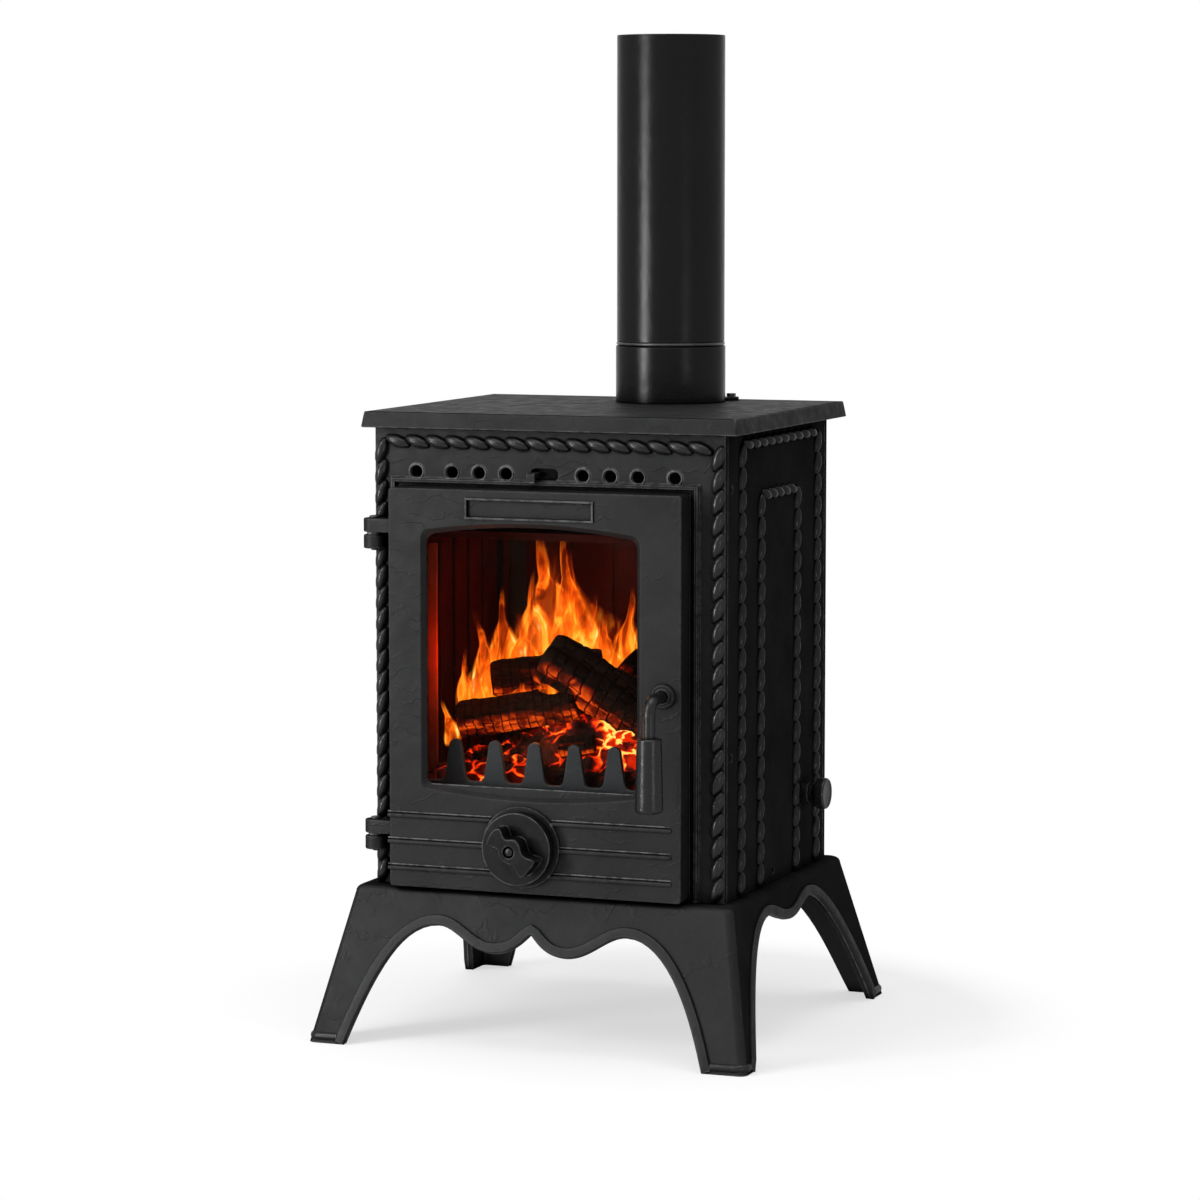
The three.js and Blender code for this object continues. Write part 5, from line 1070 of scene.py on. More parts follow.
def window_loop(grow):
    """The window's outline moved outward by an amount, with a bowed foot and head."""
    x0 = WIN_X - WIN_HALF - grow
    x1 = WIN_X + WIN_HALF + grow
    foot = WIN_LOW + 10 - grow
    head = WIN_TOP - 8.5 + grow
    top, low = 14, 7
    points = quadratic((x0, foot + low), (x0, foot), (x0 + low, foot - low / 4), 6)
    points += quadratic((x0 + low, foot - low / 4), (WIN_X, foot - 20), (x1 - low, foot - low / 4),
                        WINDOW_STEPS)
    points += quadratic((x1 - low, foot - low / 4), (x1, foot), (x1, foot + low), 6)
    points += [(x1, foot + low)]
    points += quadratic((x1, head - top), (x1, head), (x1 - top, head), 8)
    points += quadratic((x1 - top, head), (WIN_X, head + 17), (x0 + top, head), WINDOW_STEPS)
    points += quadratic((x0 + top, head), (x0, head), (x0, head - top), 8)
    points += [(x0, head - top)]
    return points


def door_casting():
    """The door's shell, hollow behind, with the window, the field's recess and the handle's bore cut out."""
    rim = rect(WIN_X - FIELD_HALF + FIELD_RIM, WIN_X + FIELD_HALF - FIELD_RIM, FIELD_Z0 + FIELD_RIM,
               FIELD_Z1 - FIELD_RIM)
    bore = [(0, DOOR_FACE - 5), (SLEEVE_BORE, DOOR_FACE - 5), (SLEEVE_BORE, DOOR_BACK), (0, DOOR_BACK)]
    return cut_away("door_casting", plate("y", door_rect(0, 4), DOOR_BACK, DOOR_FACE, 0.6, 1.7, steps=4), [
        plate("y", door_rect(6, 3), DOOR_BACK - 6, DOOR_FACE + DOOR_SKIN, 0, 0),
        plate("y", door_rect(DOOR_LIP, 2), DOOR_BACK + 5, DOOR_FACE + 8.5, 0, 0),
        skin([[(u, DOOR_FACE + depth, v) for u, v in window_loop(grow)] for grow, depth in WINDOW_RINGS]),
        plate("y", rim, DOOR_FACE - 3, DOOR_FACE + 1.8, 0, 0),
        lathe("y", bore, (HANDLE_X, 0, HANDLE_Z), 32),
    ])


def bar(x0, x1, z, half, raise_by):
    """A rounded bar across the door's face, lower at its ends."""
    rings = []
    steps = 6
    for x, share in ((x0, 0.55), (x0 + 1.2, 0.9), (x0 + 3, 1.0), (x1 - 3, 1.0), (x1 - 1.2, 0.9), (x1, 0.55)):
        ring = []
        for k in range(steps + 1):
            angle = math.pi * k / steps
            y = DOOR_FACE - raise_by * share * math.sin(angle) ** 0.7
            ring.append((x, y, z + half * share * math.cos(angle)))
        ring.append((x, DOOR_FACE + BAR_SUNK, z - half * share))
        ring.append((x, DOOR_FACE + BAR_SUNK, z + half * share))
        rings.append(ring)
    return skin(rings)


def field_frame():
    """The raised frame round the bare field above the window."""
    field = rect(WIN_X - FIELD_HALF, WIN_X + FIELD_HALF, FIELD_Z0, FIELD_Z1)
    return plate("y", field, DOOR_FACE + 2.2, DOOR_FACE - 2.2, 0, 0.7, [offset_loop(field, FIELD_RIM)])


def spinner_bars():
    """Three pairs of bars on both sides of the spinner: a broad one, and a thin one above it."""
    shell = Shell()
    for k in range(3):
        z = DOOR_LOW + BAR_FIRST + BAR_PITCH * k
        half = math.sqrt(BOSS_R ** 2 - (z - SPIN_Z) ** 2) - 1
        for x0, x1 in ((DOOR_L - 1.6, SPIN_X - half), (SPIN_X + half, DOOR_R - 11)):
            shell.join(bar(x0, x1, z, 2.6, 3.0))
            shell.join(bar(x0, x1, z + 4.2, 0.9, 1.2))
    return shell


def door_bosses():
    """The spinner's boss, the handle's sleeve and four pillars behind the glass clips."""
    inner = DOOR_FACE + 6
    outer = DOOR_FACE - 3
    boss = soften([(7, inner), (7, outer), (BOSS_R, outer), (BOSS_R, inner), (7, inner)], 1.2)
    sleeve = soften([(SLEEVE_BORE, inner), (11, inner), (11, DOOR_BACK - 6), (SLEEVE_BORE, DOOR_BACK - 6),
                     (SLEEVE_BORE, inner)], 0.8)
    pillar = soften([(0, inner), (5.5, inner), (5.5, PANE_Y), (0, PANE_Y)], 0.6)
    pillar_x = WIN_HALF + 9 - 22
    shell = lathe("y", boss, (SPIN_X, 0, SPIN_Z), 72)
    shell.join(lathe("y", sleeve, (HANDLE_X, 0, HANDLE_Z), 32))
    for z in (WIN_LOW - PILLAR_OUT, WIN_TOP + PILLAR_OUT):
        for x in (WIN_X - pillar_x, WIN_X + pillar_x):
            shell.join(lathe("y", pillar, (x, 0, z), 24))
    return shell


def window_ledge():
    """The ledge that the glass stands on."""
    near = DOOR_FACE + 5.5
    far = DOOR_FACE + 8.6
    low = WIN_LOW - 7
    high = WIN_LOW + 8.5
    half = WIN_HALF + 4
    section = [(near, low), (near, high), (far, high), (far, low)]
    return plate("x", section, WIN_X - half, WIN_X + half, 0.5, 0.5)


def door_mouldings():
    shell = field_frame().join(spinner_bars()).join(door_bosses()).join(window_ledge())
    for level in HINGE_LEVELS:
        shell.join(door_knuckle(level))
    return shell


def hinge_pin(level):
    profile = [(0, -19.5), (3.6, -19.3), (4, -17), (4, 17.2), (6, 17.4), (5.4, 19.4), (2.5, 20.1), (0, 20.1)]
    return lathe("z", soften([(radius, level + z) for radius, z in profile], 0.8), (PIN_X, PIN_Y, 0), 32)


settle(door_casting(), cast_black, "door", "door", angle=35)
piece("door_mouldings", door_mouldings(), cast_black, "door")
for word, level in zip(("upper", "lower"), HINGE_LEVELS):
    piece(f"hinge_pin_{word}_turned", hinge_pin(level), steel_dark, "stove", f"hinge_pin_{word}")


# Handle

ROD_R = 6.6
ROD_BEND = 17.0
ROD_SIDES = 28
SHAFT_R = 4.5
SHAFT_END = -153.0
GRIP_FOOT_R = 11.4
GRIP_SWELL = 4.0
GRIP_TOP = HANDLE_Z - 40.5
GRIP_LOW = GRIP_TOP - 81.5
GRIP_BORE = 27
ESCUTCHEON = ((6.9, -211.3), (6.9, -216.3), (8.9, -216.3), (9.6, -215.2), (11.2, -216.0), (13.2, -215.0),
              (14.0, -213.2), (14.0, -211.3), (6.9, -211.3))


def handle_rod():
    """A round rod that leaves the door, bends down and ends in the grip, with its shaft behind."""
    start = DOOR_FACE + 4
    path = []
    for k in range(9):
        path.append(Vector((0, start + (HANDLE_Y + ROD_BEND - start) * k / 8, HANDLE_Z)))
    for k in range(1, 13):
        angle = math.pi / 2 * k / 12
        y = HANDLE_Y + ROD_BEND - ROD_BEND * math.sin(angle)
        path.append(Vector((0, y, HANDLE_Z - ROD_BEND * (1 - math.cos(angle)))))
    foot = GRIP_LOW + 27.2
    for k in range(1, 5):
        path.append(Vector((0, HANDLE_Y, HANDLE_Z - ROD_BEND + (foot - HANDLE_Z + ROD_BEND) * k / 4)))
    side = Vector(RIGHT)
    turns = [2 * math.pi * k / ROD_SIDES for k in range(ROD_SIDES)]
    rings = []
    for point, run in zip(path, headings(path)):
        other = run.cross(side)
        rings.append([tuple(point + side * (ROD_R * math.cos(a)) + other * ROD_R * math.sin(a)
                            + Vector((HANDLE_X, 0, 0))) for a in turns])
    shaft = soften([(0, DOOR_FACE + 1), (SHAFT_R, DOOR_FACE + 1), (SHAFT_R, SHAFT_END), (0, SHAFT_END)], 0.6)
    return skin(rings).join(lathe("y", shaft, (HANDLE_X, 0, HANDLE_Z), 24))


def handle_grip():
    """A tapered grip with a round foot and a bore for the rod."""
    profile = [(0, GRIP_LOW), (GRIP_FOOT_R, GRIP_LOW)]
    for k in range(1, 6):
        angle = math.pi / 2 * k / 5
        radius = GRIP_FOOT_R + GRIP_SWELL * math.sin(angle)
        profile.append((radius, GRIP_LOW + GRIP_SWELL * (1 - math.cos(angle))))
    profile += [(13.8, GRIP_TOP - 2.6), (13.6, GRIP_TOP - 1.4), (12.6, GRIP_TOP - 0.4), (11.6, GRIP_TOP),
                (7.6, GRIP_TOP), (7.0, GRIP_TOP - 0.6), (7.0, GRIP_LOW + GRIP_BORE),
                (0, GRIP_LOW + GRIP_BORE)]
    return lathe("z", profile, (HANDLE_X, HANDLE_Y, 0), 48)


piece("handle_rod_bent", handle_rod(), grip_black, "handle", "door_handle")
piece("handle_grip_turned", handle_grip(), grip_black, "handle", "handle_grip", angle=32)
piece("handle_escutcheon_ring", lathe("y", soften(ESCUTCHEON, 0.8), (HANDLE_X, 0, HANDLE_Z), 48), cast_black,
      "door", "handle_escutcheon")


# Air spinner

SPIN_R = 40.6
WING = [(-17.2, 25.2), (-10.6, 26.1), (-8.3, 23.2), (-6.8, 18.6), (-4.7, 14.8), (-0.9, 13.9), (5.1, 14.8),
        (10.1, 12.9), (13.1, 8.6), (14.2, 3.7), (16.3, -1.8), (20.7, -4.9), (26.7, -6.2), (31.1, -7.8),
        (30.2, -12.1), (21.9, -22.3), (16.8, -27.3), (13.0, -27.0), (10.0, -23.0), (7.4, -16.8), (3.5, -13.7),
        (-2.4, -12.6), (-8.3, -9.4), (-11.3, -4.8), (-12.2, -0.1), (-14.3, 3.4), (-19.6, 5.0), (-24.7, 6.4),
        (-26.2, 8.3), (-24.7, 13.9), (-20.8, 20.5)]
STUD_END = ((0, 7.5), (4.7, 7.5), (4.7, 1.4), (3.0, 0.5), (0, 0.2))


def spinner_shell():
    """A disc with a raised wing to turn it by."""
    disc = [(4.4, SPIN_BACK), (SPIN_R, SPIN_BACK), (SPIN_R, SPIN_FACE), (4.4, SPIN_FACE), (4.4, SPIN_BACK)]
    shell = lathe("y", soften(disc, 1.0), (SPIN_X, 0, SPIN_Z), 96)
    loop = [(SPIN_X + u, SPIN_Z + v) for u, v in chaikin(WING)]
    hole = circle(SPIN_X, SPIN_Z, 6.4)
    return shell.join(plate("y", loop, SPIN_FACE + 2, SPIN_TIP, 0, 1.3, [hole], [1.2], steps=4))


stud_end = soften([(radius, SPIN_TIP + depth) for radius, depth in STUD_END], 0.8)
piece("spinner_stud_end", lathe("y", stud_end, (SPIN_X, 0, SPIN_Z), 32), grip_black, "door", angle=40)
piece("air_spinner_casting", spinner_shell(), spinner_black, "spinner", "air_spinner", angle=40)


# Riddling knob and bush

KNOB_BACK = HALF_W + 0.3 + 9 + 0.6
KNOB = ((4.3, 0), (11, 0), (10.6, 3.4), (12.4, 6.2), (17.2, 8.6), (18, 10.5), (18, 18.2),
        (16.6, 20), (15.4, 19.9), (14.4, 19.0), (0, 18.6), (0, 10.3), (4.3, 10.3), (4.3, 0))
BUSH = ((4.3, -8), (8, -8), (8, 0.3), (12, 0.3), (12, 8.6), (11, 9.3), (4.3, 9.3), (4.3, -8))
piece("riddling_knob_turned", lathe("x", soften(KNOB, 1.0), (KNOB_BACK, ROD_Y, ROD_Z), 64), grip_black,
      "riddling", "riddling_knob")
piece("rod_bush_turned", lathe("x", soften(BUSH, 0.8), (HALF_W, ROD_Y, ROD_Z), 48), cast_black,
      "stove", "rod_bush")


# Air slider with its lever

SLIDER_HALF = 170
SLIDER_TALL = 14
SLIDER_THICK = 3
LEVER_WIDTH = 10
LEVER_TIP = FRONT - 17


def slider_shell():
    """The perforated plate behind the vents, with a lever that passes the slot."""
    y0 = FRONT + WALL + 0.3
    outer = rect(VENT_X - SLIDER_HALF, VENT_X + SLIDER_HALF, VENT_Z - SLIDER_TALL, VENT_Z + SLIDER_TALL)
    holes = [circle(x, VENT_Z, VENT_R, 28) for x in VENT_PLACES]
    shell = plate("y", outer, y0 + SLIDER_THICK, y0, 0.4, 0.4, holes)
    side = VENT_X - LEVER_SLOT_HALF + 0.9
    lever = [(LEVER_TIP, VENT_Z - 8), (FRONT - 12.4, VENT_Z - 8), (FRONT - 11.6, VENT_Z - 3.0),
             (y0 + 1.5, VENT_Z - 3.0), (y0 + 1.5, VENT_Z + 3.0), (FRONT - 13, VENT_Z + 3.0),
             (FRONT - 15.6, VENT_Z + 2.4), (LEVER_TIP, VENT_Z + 0.6)]
    return shell.join(plate("x", lever, side, side + LEVER_WIDTH, 1.2, 1.2))


piece("air_slider_plate", slider_shell(), cast_black, "air_slider", "air_slider")


# Log retainer, and the liner's flange beside the window

TOOTH_R = 7.6
TOOTH_PITCH = 47.7
TOOTH_HEIGHT = 47
RETAINER_HALF = 148
RETAINER_LOW = 280.3
RETAINER_TOP = 292.3
RETAINER_THICK = 6
TEETH_MIDDLE = -21.5
TOOTH_FLARE = ((17.5, 0), (14.2, 2.4), (12.4, 7))


def retainer_shell():
    """A rail with five round teeth, on a narrow foot."""
    y0 = FRONT + WALL + 3
    top = RETAINER_TOP
    neck = top + TOOTH_HEIGHT - TOOTH_R
    points = [(-RETAINER_HALF, RETAINER_LOW), (RETAINER_HALF, RETAINER_LOW), (RETAINER_HALF, top - 1)]
    for tooth in range(4, -1, -1):
        x = TEETH_MIDDLE + (tooth - 2) * TOOTH_PITCH
        points += [(x + half, top + rise) for half, rise in TOOTH_FLARE]
        for k in range(13):
            angle = math.pi * k / 12
            points.append((x + TOOTH_R * math.cos(angle), neck + TOOTH_R * math.sin(angle)))
        points += [(x - half, top + rise) for half, rise in TOOTH_FLARE[::-1]]
    points += [(-RETAINER_HALF, top - 1)]
    foot = rect(-RETAINER_HALF, RETAINER_HALF, y0 + 1, y0 + 12)
    shell = plate("y", points, y0 + RETAINER_THICK, y0, 1.0, 1.5)
    return shell.join(plate("z", foot, RETAINER_LOW, RETAINER_LOW + 3, 0.5, 0.5))


piece("log_retainer_casting", retainer_shell(), retainer_iron, "stove", "log_retainer")
# Its red colour is painted firelight.
piece("left_liner_flange", plate("y", rect(-163, -152, 296, 556), -131.5, -135, 0.4, 0.8), firelit_flange_iron,
      "stove")


# Fire: embers, logs and flames on the hearth

def ember_material():
    """Ash with a net of glowing cracks and hot patches."""
    look = new_look("ember_bed")
    place = look.coords()
    net = {"Vector": look.warped(place, 40.0, 0.02), "Scale": 42.0}
    cracks = look.node("TexVoronoi", net, feature="DISTANCE_TO_EDGE").outputs["Distance"]
    heat = look.noise(place, 16.0, 3.0, 0.6)
    hot = look.product(look.spread(cracks, 0.11, 0.0), look.spread(heat, 0.4, 0.66))
    glow = look.maths("ADD", hot, look.product(look.spread(heat, 0.44, 0.72), 0.4))
    return look.skin({
        "Base Color": look.ramp(heat, (0.3, (0.003, 0.002, 0.0017)), (0.7, (0.014, 0.007, 0.005))),
        "Roughness": look.spread(heat, 0.3, 0.7, 0.8, 1.0),
        "Specular IOR Level": 0.03,
        "Emission Color": look.ramp(
            glow, (0.0, (0.0, 0.0, 0.0)), (0.18, (0.06, 0.0008, 0.0)), (0.38, (0.62, 0.014, 0.0004)),
            (0.66, (1.0, 0.085, 0.002)), (0.9, (1.0, 0.36, 0.03)), (1.0, (1.0, 0.62, 0.12))),
        "Emission Strength": 1.35,
        "Normal": look.bump(cracks, 0.7, 0.006),
    })


def log_material():
    """Charred wood: dark blocks with cracks, which glow where the log is hot underneath."""
    look = new_look("charred_wood")
    uv = look.coords("UV")
    bricks = {"Vector": look.warped(uv, 9.0, 0.06), "Scale": 1.0, "Mortar Size": 0.0075, "Mortar Smooth": 0.7,
              "Brick Width": 0.13, "Row Height": 0.075}
    crack = look.node("TexBrick", bricks, offset=0.5).outputs["Fac"]
    grain = look.noise(look.stretched(uv, (60.0, 3.0, 1.0)), 1.0, 4.0, 0.65)
    base = look.ramp(grain, (0.3, (0.002, 0.001, 0.0007)), (0.6, (0.010, 0.004, 0.002)),
                     (0.8, (0.045, 0.017, 0.008)))
    normal = look.node("NewGeometry").outputs["Normal"]
    under = look.spread(look.node("SeparateXYZ", {0: normal}).outputs["Z"], 0.15, -0.75)
    patch = look.spread(look.noise(look.coords(), 26.0, 3.0, 0.6), 0.4, 0.62)
    glow = look.product(under, patch, 0.62, look.maths("SUBTRACT", 1.0, crack))
    return look.skin({
        "Base Color": look.mix(crack, base, (0.002, 0.0015, 0.001)),
        "Roughness": look.spread(grain, 0.3, 0.7, 0.7, 0.95),
        "Specular IOR Level": 0.03,
        "Emission Color": look.ramp(glow, (0.0, (0.0, 0.0, 0.0)), (0.25, (0.15, 0.006, 0.0004)),
                                    (0.6, (0.9, 0.085, 0.003)), (1.0, (1.0, 0.5, 0.06))),
        "Emission Strength": 1.0,
        "Normal": look.bump(look.maths("SUBTRACT", look.product(grain, 0.4), crack), 0.8, 0.003),
    })


def flame_material(name, strength, opacity, cool):
    """Glowing sheet whose edges, foot and tip fade out, with brighter licks along noise."""
    look = new_look(name)
    split = look.node("SeparateXYZ", {0: look.coords("UV")})
    u, v = split.outputs["X"], split.outputs["Y"]
    tall = look.stretched(look.coords(), (1.0, 1.0, 0.32))
    wobble = look.noise(tall, 26.0, 3.0, 0.55, 0.6)
    shifted = look.maths("ADD", u, look.product(look.maths("SUBTRACT", wobble, 0.5), 0.75))
    across = look.maths("ABSOLUTE", look.maths("SUBTRACT", look.product(shifted, 2.0), 1.0))
    body = look.product(look.spread(across, 0.98, 0.55), look.spread(v, 1.0, 0.66), look.spread(v, 0.0, 0.10))
    streaks = look.noise(tall, 48.0, 3.0, 0.6, 1.2)
    rim = look.spread(look.maths("ABSOLUTE", look.maths("SUBTRACT", across, 0.62)), 0.14, 0.0)
    low = look.spread(v, 0.9, 0.1)
    heat = look.maths("ADD", look.product(low, 0.34), look.product(rim, 0.26))
    heat = look.maths("ADD", heat, look.product(look.spread(streaks, 0.42, 0.68), 0.55))
    heat = look.maths("SUBTRACT", heat, cool)
    return look.skin({
        "Base Color": (0.0, 0.0, 0.0),
        "Roughness": 1.0,
        "Specular IOR Level": 0.0,
        "Emission Color": look.ramp(
            heat, (0.0, (0.30, 0.016, 0.0005)), (0.22, (0.80, 0.075, 0.002)), (0.5, (1.0, 0.19, 0.006)),
            (0.76, (1.0, 0.42, 0.03)), (1.0, (1.0, 0.78, 0.26))),
        "Emission Strength": strength,
        "Alpha": look.product(body, look.spread(streaks, 0.3, 0.58, 0.12, 1.0), opacity),
    })


ember_skin = ember_material()
char_skin = log_material()
flame_skin = flame_material("flame_bright", 1.3, 0.96, 0.03)
glow_skin = flame_material("flame_soft", 0.75, 0.42, 0.3)

BED_X = 168.0
BED_Y = 169.5
BED_FRONT = -152.5
BED_REAR = 115.5
BED_FOOT = 281.0
BED_BASE = 299
BED_UNDER = 280.4
MOUND_HEIGHT = 62
COAL_X = 158
COAL_FRONT = -150
COAL_REAR = -20
BED_COLUMNS = 110
BED_ROWS = 80
COALS = 150


def heap_height(x, y):
    """Height of the ember bed over the hearth."""
    mound = MOUND_HEIGHT * math.exp(-((x / BED_X - 0.03) / 0.565) ** 2 - ((y / BED_Y + 0.47) / 0.27) ** 2)
    lumps = 9 * (noise.noise(Vector((x / 16, y / 16, 1.7))) + 0.5 * noise.noise(Vector((x / 7, y / 7, 5.1))))
    return BED_BASE + mound + lumps


def ember_bed():
    """The mound as a grid that drops off at its borders, closed below."""
    verts = []
    for r in range(BED_ROWS + 1):
        y = BED_FRONT + (BED_REAR - BED_FRONT) * r / BED_ROWS
        for c in range(BED_COLUMNS + 1):
            x = -BED_X + 2 * BED_X * c / BED_COLUMNS
            edge = min((x + BED_X) / 14, (BED_X - x) / 14, (y - BED_FRONT) / 7, (BED_REAR - y) / 14, 1)
            verts.append((x, y, BED_FOOT + (heap_height(x, y) - BED_FOOT) * max(edge, 0) ** 0.5))
    wide = BED_COLUMNS + 1
    faces = quads(BED_ROWS + 1, wide, wraps=False)
    base = len(verts)
    verts += [(x, y, BED_UNDER) for x, y, _ in verts]
    border = list(range(wide)) + [r * wide + BED_COLUMNS for r in range(1, BED_ROWS + 1)]
    border += [BED_ROWS * wide + c for c in range(BED_COLUMNS - 1, -1, -1)]
    border += [r * wide for r in range(BED_ROWS - 1, 0, -1)]
    faces += [(b, a, a + base, b + base) for a, b in zip(border, border[1:] + border[:1])]
    faces += [tuple(base + i for i in border)]
    return Shell().add(verts, faces)


def lump(rng, centre, size):
    """An irregular coal: the hull of scattered points."""
    work = bmesh.new()
    for _ in range(16):
        direction = Vector((rng.uniform(-1, 1), rng.uniform(-1, 1), rng.uniform(-0.8, 0.8))).normalized()
        shares = (rng.uniform(0.8, 1.3), rng.uniform(0.7, 1.1), rng.uniform(0.6, 0.9))
        reach = Vector([size * share for share in shares])
        work.verts.new([c + d * r for c, d, r in zip(centre, direction, reach)])
    bmesh.ops.convex_hull(work, input=work.verts)
    loose = [v for v in work.verts if not v.link_faces]
    bmesh.ops.delete(work, geom=loose, context="VERTS")
    work.verts.index_update()
    shell = Shell().add([v.co for v in work.verts], [[v.index for v in f.verts] for f in work.faces])
    work.free()
    return shell


def coals():
    rng = random.Random(7)
    shell = Shell()
    for _ in range(COALS):
        x = rng.uniform(-COAL_X, COAL_X)
        y = rng.uniform(COAL_FRONT, COAL_REAR)
        size = rng.uniform(5, 10)
        z = heap_height(x, y) + size * 0.15
        in_front_row = y < COAL_FRONT + 10
        if in_front_row:
            z -= 6
        shell.join(lump(rng, (x, y, z), size))
    return shell


def lay_uvs(obj, uv_of):
    """UVs for each corner of each face, from the face's vertex indices and the corner's own."""
    layer = obj.data.uv_layers.new(name="UVMap")
    for poly in obj.data.polygons:
        corners = [obj.data.loops[i].vertex_index for i in poly.loop_indices]
        for i, corner in zip(poly.loop_indices, corners):
            layer.data[i].uv = uv_of(corner, corners)


LOG_AROUND = 56
LOG_ALONG = 90
LOG_END = 4


def log_object(name, start, end, radius, seed, squareness):
    """A charred split log between two points, with UVs round and along it."""
    rng = random.Random(seed)
    start, end = Vector(start), Vector(end)
    run = end - start
    length = run.length
    run.normalize()
    side = run.cross(Vector(UP)).normalized()
    lift = side.cross(run)
    turn = rng.uniform(0, 6.28)
    rings = []
    for r in range(-LOG_END, LOG_ALONG + LOG_END + 1):
        t = min(max(r / LOG_ALONG, 0), 1)
        beyond = max(-r, r - LOG_ALONG, 0)
        closing = max(1 - beyond * 0.235, 0.02)
        push = beyond * (-0.3 if r < 0 else 0.3)
        ends = 1 - 0.12 * math.exp(-min(t, 1 - t) * length / 3)
        ring = []
        for k in range(LOG_AROUND):
            a = 2 * math.pi * k / LOG_AROUND
            square = 1 + squareness * 0.35 * (abs(math.cos(2 * (a + turn))) - 0.5)
            spot = Vector((math.cos(a) * 2.2, math.sin(a) * 2.2, t * length / 24 + seed * 3.1))
            wave = noise.noise(spot) * 0.10 + noise.noise(spot * 2.7) * 0.05
            sway = noise.noise(Vector((math.cos(a), math.sin(a), t * 6 + seed)))
            groove = abs(math.sin(t * length / 8.5 + 2.2 * sway))
            cut = 0.05 * (1 - min(groove * 3.2, 1))
            reach = radius * (square + wave - cut) * ends * closing
            middle = start + run * (t * length + push)
            ring.append(tuple(middle + side * (reach * math.cos(a)) + lift * (reach * math.sin(a))))
        rings.append(ring)
    obj = make_object(name, skin(rings), weld=False)
    aspect = length / (2 * math.pi * radius)

    def uv_of(corner, corners):
        places = [c % LOG_AROUND for c in corners]
        wraps = len(corners) == 4 and max(places) - min(places) > LOG_AROUND / 2
        k = corner % LOG_AROUND
        u = (k + LOG_AROUND if wraps and k < LOG_AROUND / 2 else k) / LOG_AROUND
        return (u, corner // LOG_AROUND / len(rings) * aspect)

    lay_uvs(obj, uv_of)
    return obj


# Each log: both ends, radius, seed and squareness
LOGS = {
    "large": ((-37, -92, 429), (124, -62, 332), 27.5, 3, 0.9),
    "middle": ((-105, -86, 398), (14, -42, 412), 21.5, 5, 0.5),
    "lower": ((-132, -118, 354), (0, -88, 376), 19.5, 8, 0.4),
    "rear": ((26, -5, 416), (140, 20, 311.4), 19.0, 11, 0.5),
    "stub": ((-6, -128, 331), (34, -122, 336), 11.4, 14, 0.5),
}
for log_name, shape in LOGS.items():
    settle(log_object(f"charred_log_{log_name}", *shape), char_skin, "stove", f"log_{log_name}", angle=70)
piece("glowing_ember_bed", ember_bed(), ember_skin, "stove", "ember_heap", angle=75)
piece("ember_coals", coals(), ember_skin, "stove", angle=20)

FLAME_ACROSS = 10
FLAME_UP = 28
FLAME_CUP = 7.0


def flame_object(name, foot, height, width, lean, curl, seed):
    """One flame tongue as a curved sheet with UVs across and up."""
    phase = random.Random(seed).uniform(0, 6.28)
    verts = []
    uvs = []
    for r in range(FLAME_UP + 1):
        t = r / FLAME_UP
        middle_x = foot[0] + lean * t ** 1.6 + curl * math.sin(phase + 5.5 * t) * t
        middle_y = foot[1] + curl * 0.5 * math.cos(phase + 4.0 * t) * t
        belly = 0.35 + 0.9 * math.sin(math.pi * min(t * 1.25 + 0.18, 1)) ** 0.8
        half = width / 2 * belly * (1 - t ** 3 * 0.7)
        for c in range(FLAME_ACROSS + 1):
            s = c / FLAME_ACROSS * 2 - 1
            verts.append((middle_x + half * s, middle_y + FLAME_CUP * s * s, foot[2] + height * t))
            uvs.append((c / FLAME_ACROSS, t))
    sheet = Shell().add(verts, quads(FLAME_UP + 1, FLAME_ACROSS + 1, wraps=False))
    obj = make_object(name, sheet, weld=False)
    lay_uvs(obj, lambda corner, corners: uvs[corner])
    return obj


# Each flame: foot, height, width, lean, curl, seed
FLAMES = (
    ((-60, 12, 388), 174, 78, -28, 6, 1),
    ((-46, 4, 392), 170, 66, -2, 6, 2),
    ((-84, 6, 384), 132, 50, -12, 6, 3),
    ((-112, -6, 372), 126, 46, -18, 6, 4),
    ((-98, -12, 376), 92, 50, -8, 6, 5),
    ((-138, -34, 350), 122, 36, -8, 5, 6),
    ((-124, -30, 356), 84, 42, -6, 6, 7),
    ((-146, -60, 338), 92, 28, -6, 4, 8),
    ((-28, 8, 396), 96, 40, 6, 6, 9),
    ((-8, 6, 396), 74, 36, -8, 6, 10),
    ((27, 4, 378), 124, 40, -3, 6, 11),
    ((46, 2, 370), 96, 42, 4, 6, 12),
    ((8, 2, 390), 78, 36, -14, 5, 13),
    ((-44, 26, 392), 150, 54, -10, 6, 14),
    ((-150, -104, 320), 54, 20, -8, 3, 15),
    ((-118, -98, 366), 52, 26, -4, 4, 16),
    ((-64, -100, 376), 22, 30, -4, 3, 17),
    ((-28, -104, 374), 46, 28, -5, 4, 18),
    ((70, 10, 352), 120, 44, -8, 6, 19),
    ((-130, -10, 352), 80, 50, -6, 5, 20),
)
GLOWS = (((-70, 60, 352), 190, 190, -8, 8, 31), ((40, 64, 340), 150, 150, 4, 8, 32),
         ((-120, 30, 340), 130, 100, -4, 6, 34))
for number, shape in enumerate(FLAMES, 1):
    settle(flame_object(f"flame_{number:02d}", *shape), flame_skin, "stove", angle=80)
for number, shape in enumerate(GLOWS, 1):
    settle(flame_object(f"flame_glow_{number}", *shape), glow_skin, "stove", angle=80)


# Stage: floor, light and camera

FLOOR_LIFT = 0.61
FLOOR_HALF = 40.0
WORLD_LIGHT = 0.3
WHITE = (1.0, 1.0, 1.0)


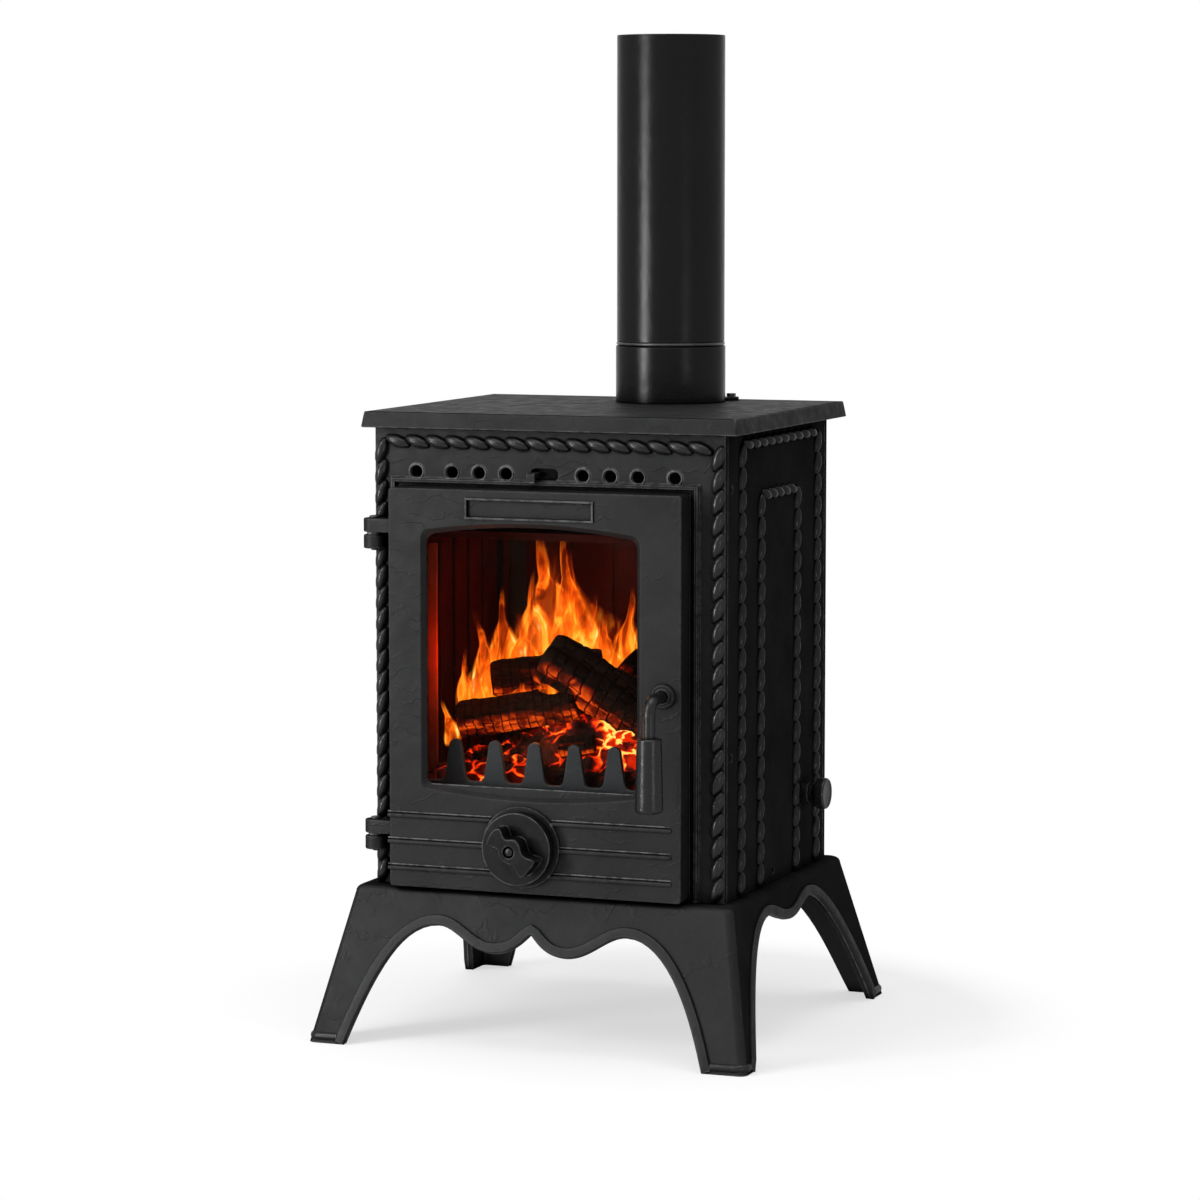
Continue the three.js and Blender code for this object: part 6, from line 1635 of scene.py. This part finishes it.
def floor_material():
    """Matte near-white that takes a soft shadow near the stove. Farther off it turns plain white."""
    look = new_look("studio_floor")
    matte = {"Base Color": (0.93, 0.93, 0.93), "Roughness": 0.75, "Specular IOR Level": 0.1}
    shader = look.node("BsdfPrincipled", matte)
    glow = look.node("Emission", {"Color": WHITE, "Strength": 1.0})
    distance = look.node("VectorMath", {0: look.coords()}, operation="LENGTH").outputs["Value"]
    far = look.spread(distance, 0.26, 0.58)
    amount = look.product(look.maths("MAXIMUM", far, FLOOR_LIFT), look.seen_direct())
    mixed = look.node("MixShader", {0: amount, 1: shader.outputs[0], 2: glow.outputs[0]})
    return look.finish("OutputMaterial", mixed)


def studio_world():
    """Plain white where it is seen, and a weaker light on everything else."""
    graph = Graph(bpy.data.worlds.new("studio_world"))
    soft = graph.node("Background", {"Color": WHITE, "Strength": WORLD_LIGHT})
    white = graph.node("Background", {"Color": WHITE, "Strength": 1.0})
    mixed = graph.node("MixShader", {0: graph.seen_direct(), 1: soft.outputs[0], 2: white.outputs[0]})
    return graph.finish("OutputWorld", mixed)


def add_light(name, kind, place, power, colour=WHITE):
    data = bpy.data.lights.new(name, kind)
    data.energy = power
    data.color = colour
    light = bpy.data.objects.new(name, data)
    light.location = place
    scene.collection.objects.link(light)
    return light


def area_light(name, place, target, power, width, height=None):
    """A lamp aimed at a target, square or with a height of its own. Lengths are metres."""
    light = add_light(name, "AREA", place, power)
    light.data.shape = "RECTANGLE" if height else "SQUARE"
    light.data.size = width
    if height:
        light.data.size_y = height
    light.rotation_euler = (Vector(target) - Vector(place)).to_track_quat("-Z", "Y").to_euler()


def fire_light(name, place, power, radius, colour):
    """A small lamp inside the fire, placed in the stove's own frame."""
    x, y, z = place
    light = add_light(name, "POINT", (x * MM, (y + SHIFT_Y) * MM, z * MM), power, colour)
    light.data.shadow_soft_size = radius


floor_mesh = bpy.data.meshes.new("studio_floor")
floor_mesh.from_pydata([(x, y, 0) for x, y in rect(-FLOOR_HALF, FLOOR_HALF, -FLOOR_HALF, FLOOR_HALF)], [],
                       [(0, 1, 2, 3)])
floor = bpy.data.objects.new("studio_floor", floor_mesh)
scene.collection.objects.link(floor)
floor.data.materials.append(floor_material())
scene.world = studio_world()

area_light("key_light", (-1.75, -2.3, 2.3), (0, 0, 0.5), 60, 1.3)
area_light("top_light", (0.2, -0.2, 3.2), (0, 0, 0.5), 60, 2.4)
area_light("tall_light", (-2.3, -2.9, 0.56), (0, 0, 0.62), 84, 0.62, 1.0)
area_light("side_strip_light", (2.7, -1.9, 0.19), (0, 0, 0.3), 7, 0.12, 0.34)
fire_light("fire_light_high", (-50, 20, 470), 0.9, 0.05, (1.0, 0.25, 0.03))
fire_light("fire_light_low", (-30, -130, 345), 0.16, 0.02, (1.0, 0.22, 0.02))
fire_light("fire_light_left", (-118, -152, 430), 0.4, 0.02, (1.0, 0.16, 0.01))

camera_data = bpy.data.cameras.new("photo_camera")
camera_data.lens = 127.6
camera_data.sensor_width = 36.0
camera_data.clip_end = 100.0
camera = bpy.data.objects.new("photo_camera", camera_data)
camera.location = (1.7328, -4.5207, 0.9855)
aim = Vector((0.0011, -0.0096, 0.4862))
camera.rotation_euler = (aim - camera.location).to_track_quat("-Z", "Y").to_euler()
scene.collection.objects.link(camera)
scene.camera = camera
scene.view_settings.view_transform = "Standard"
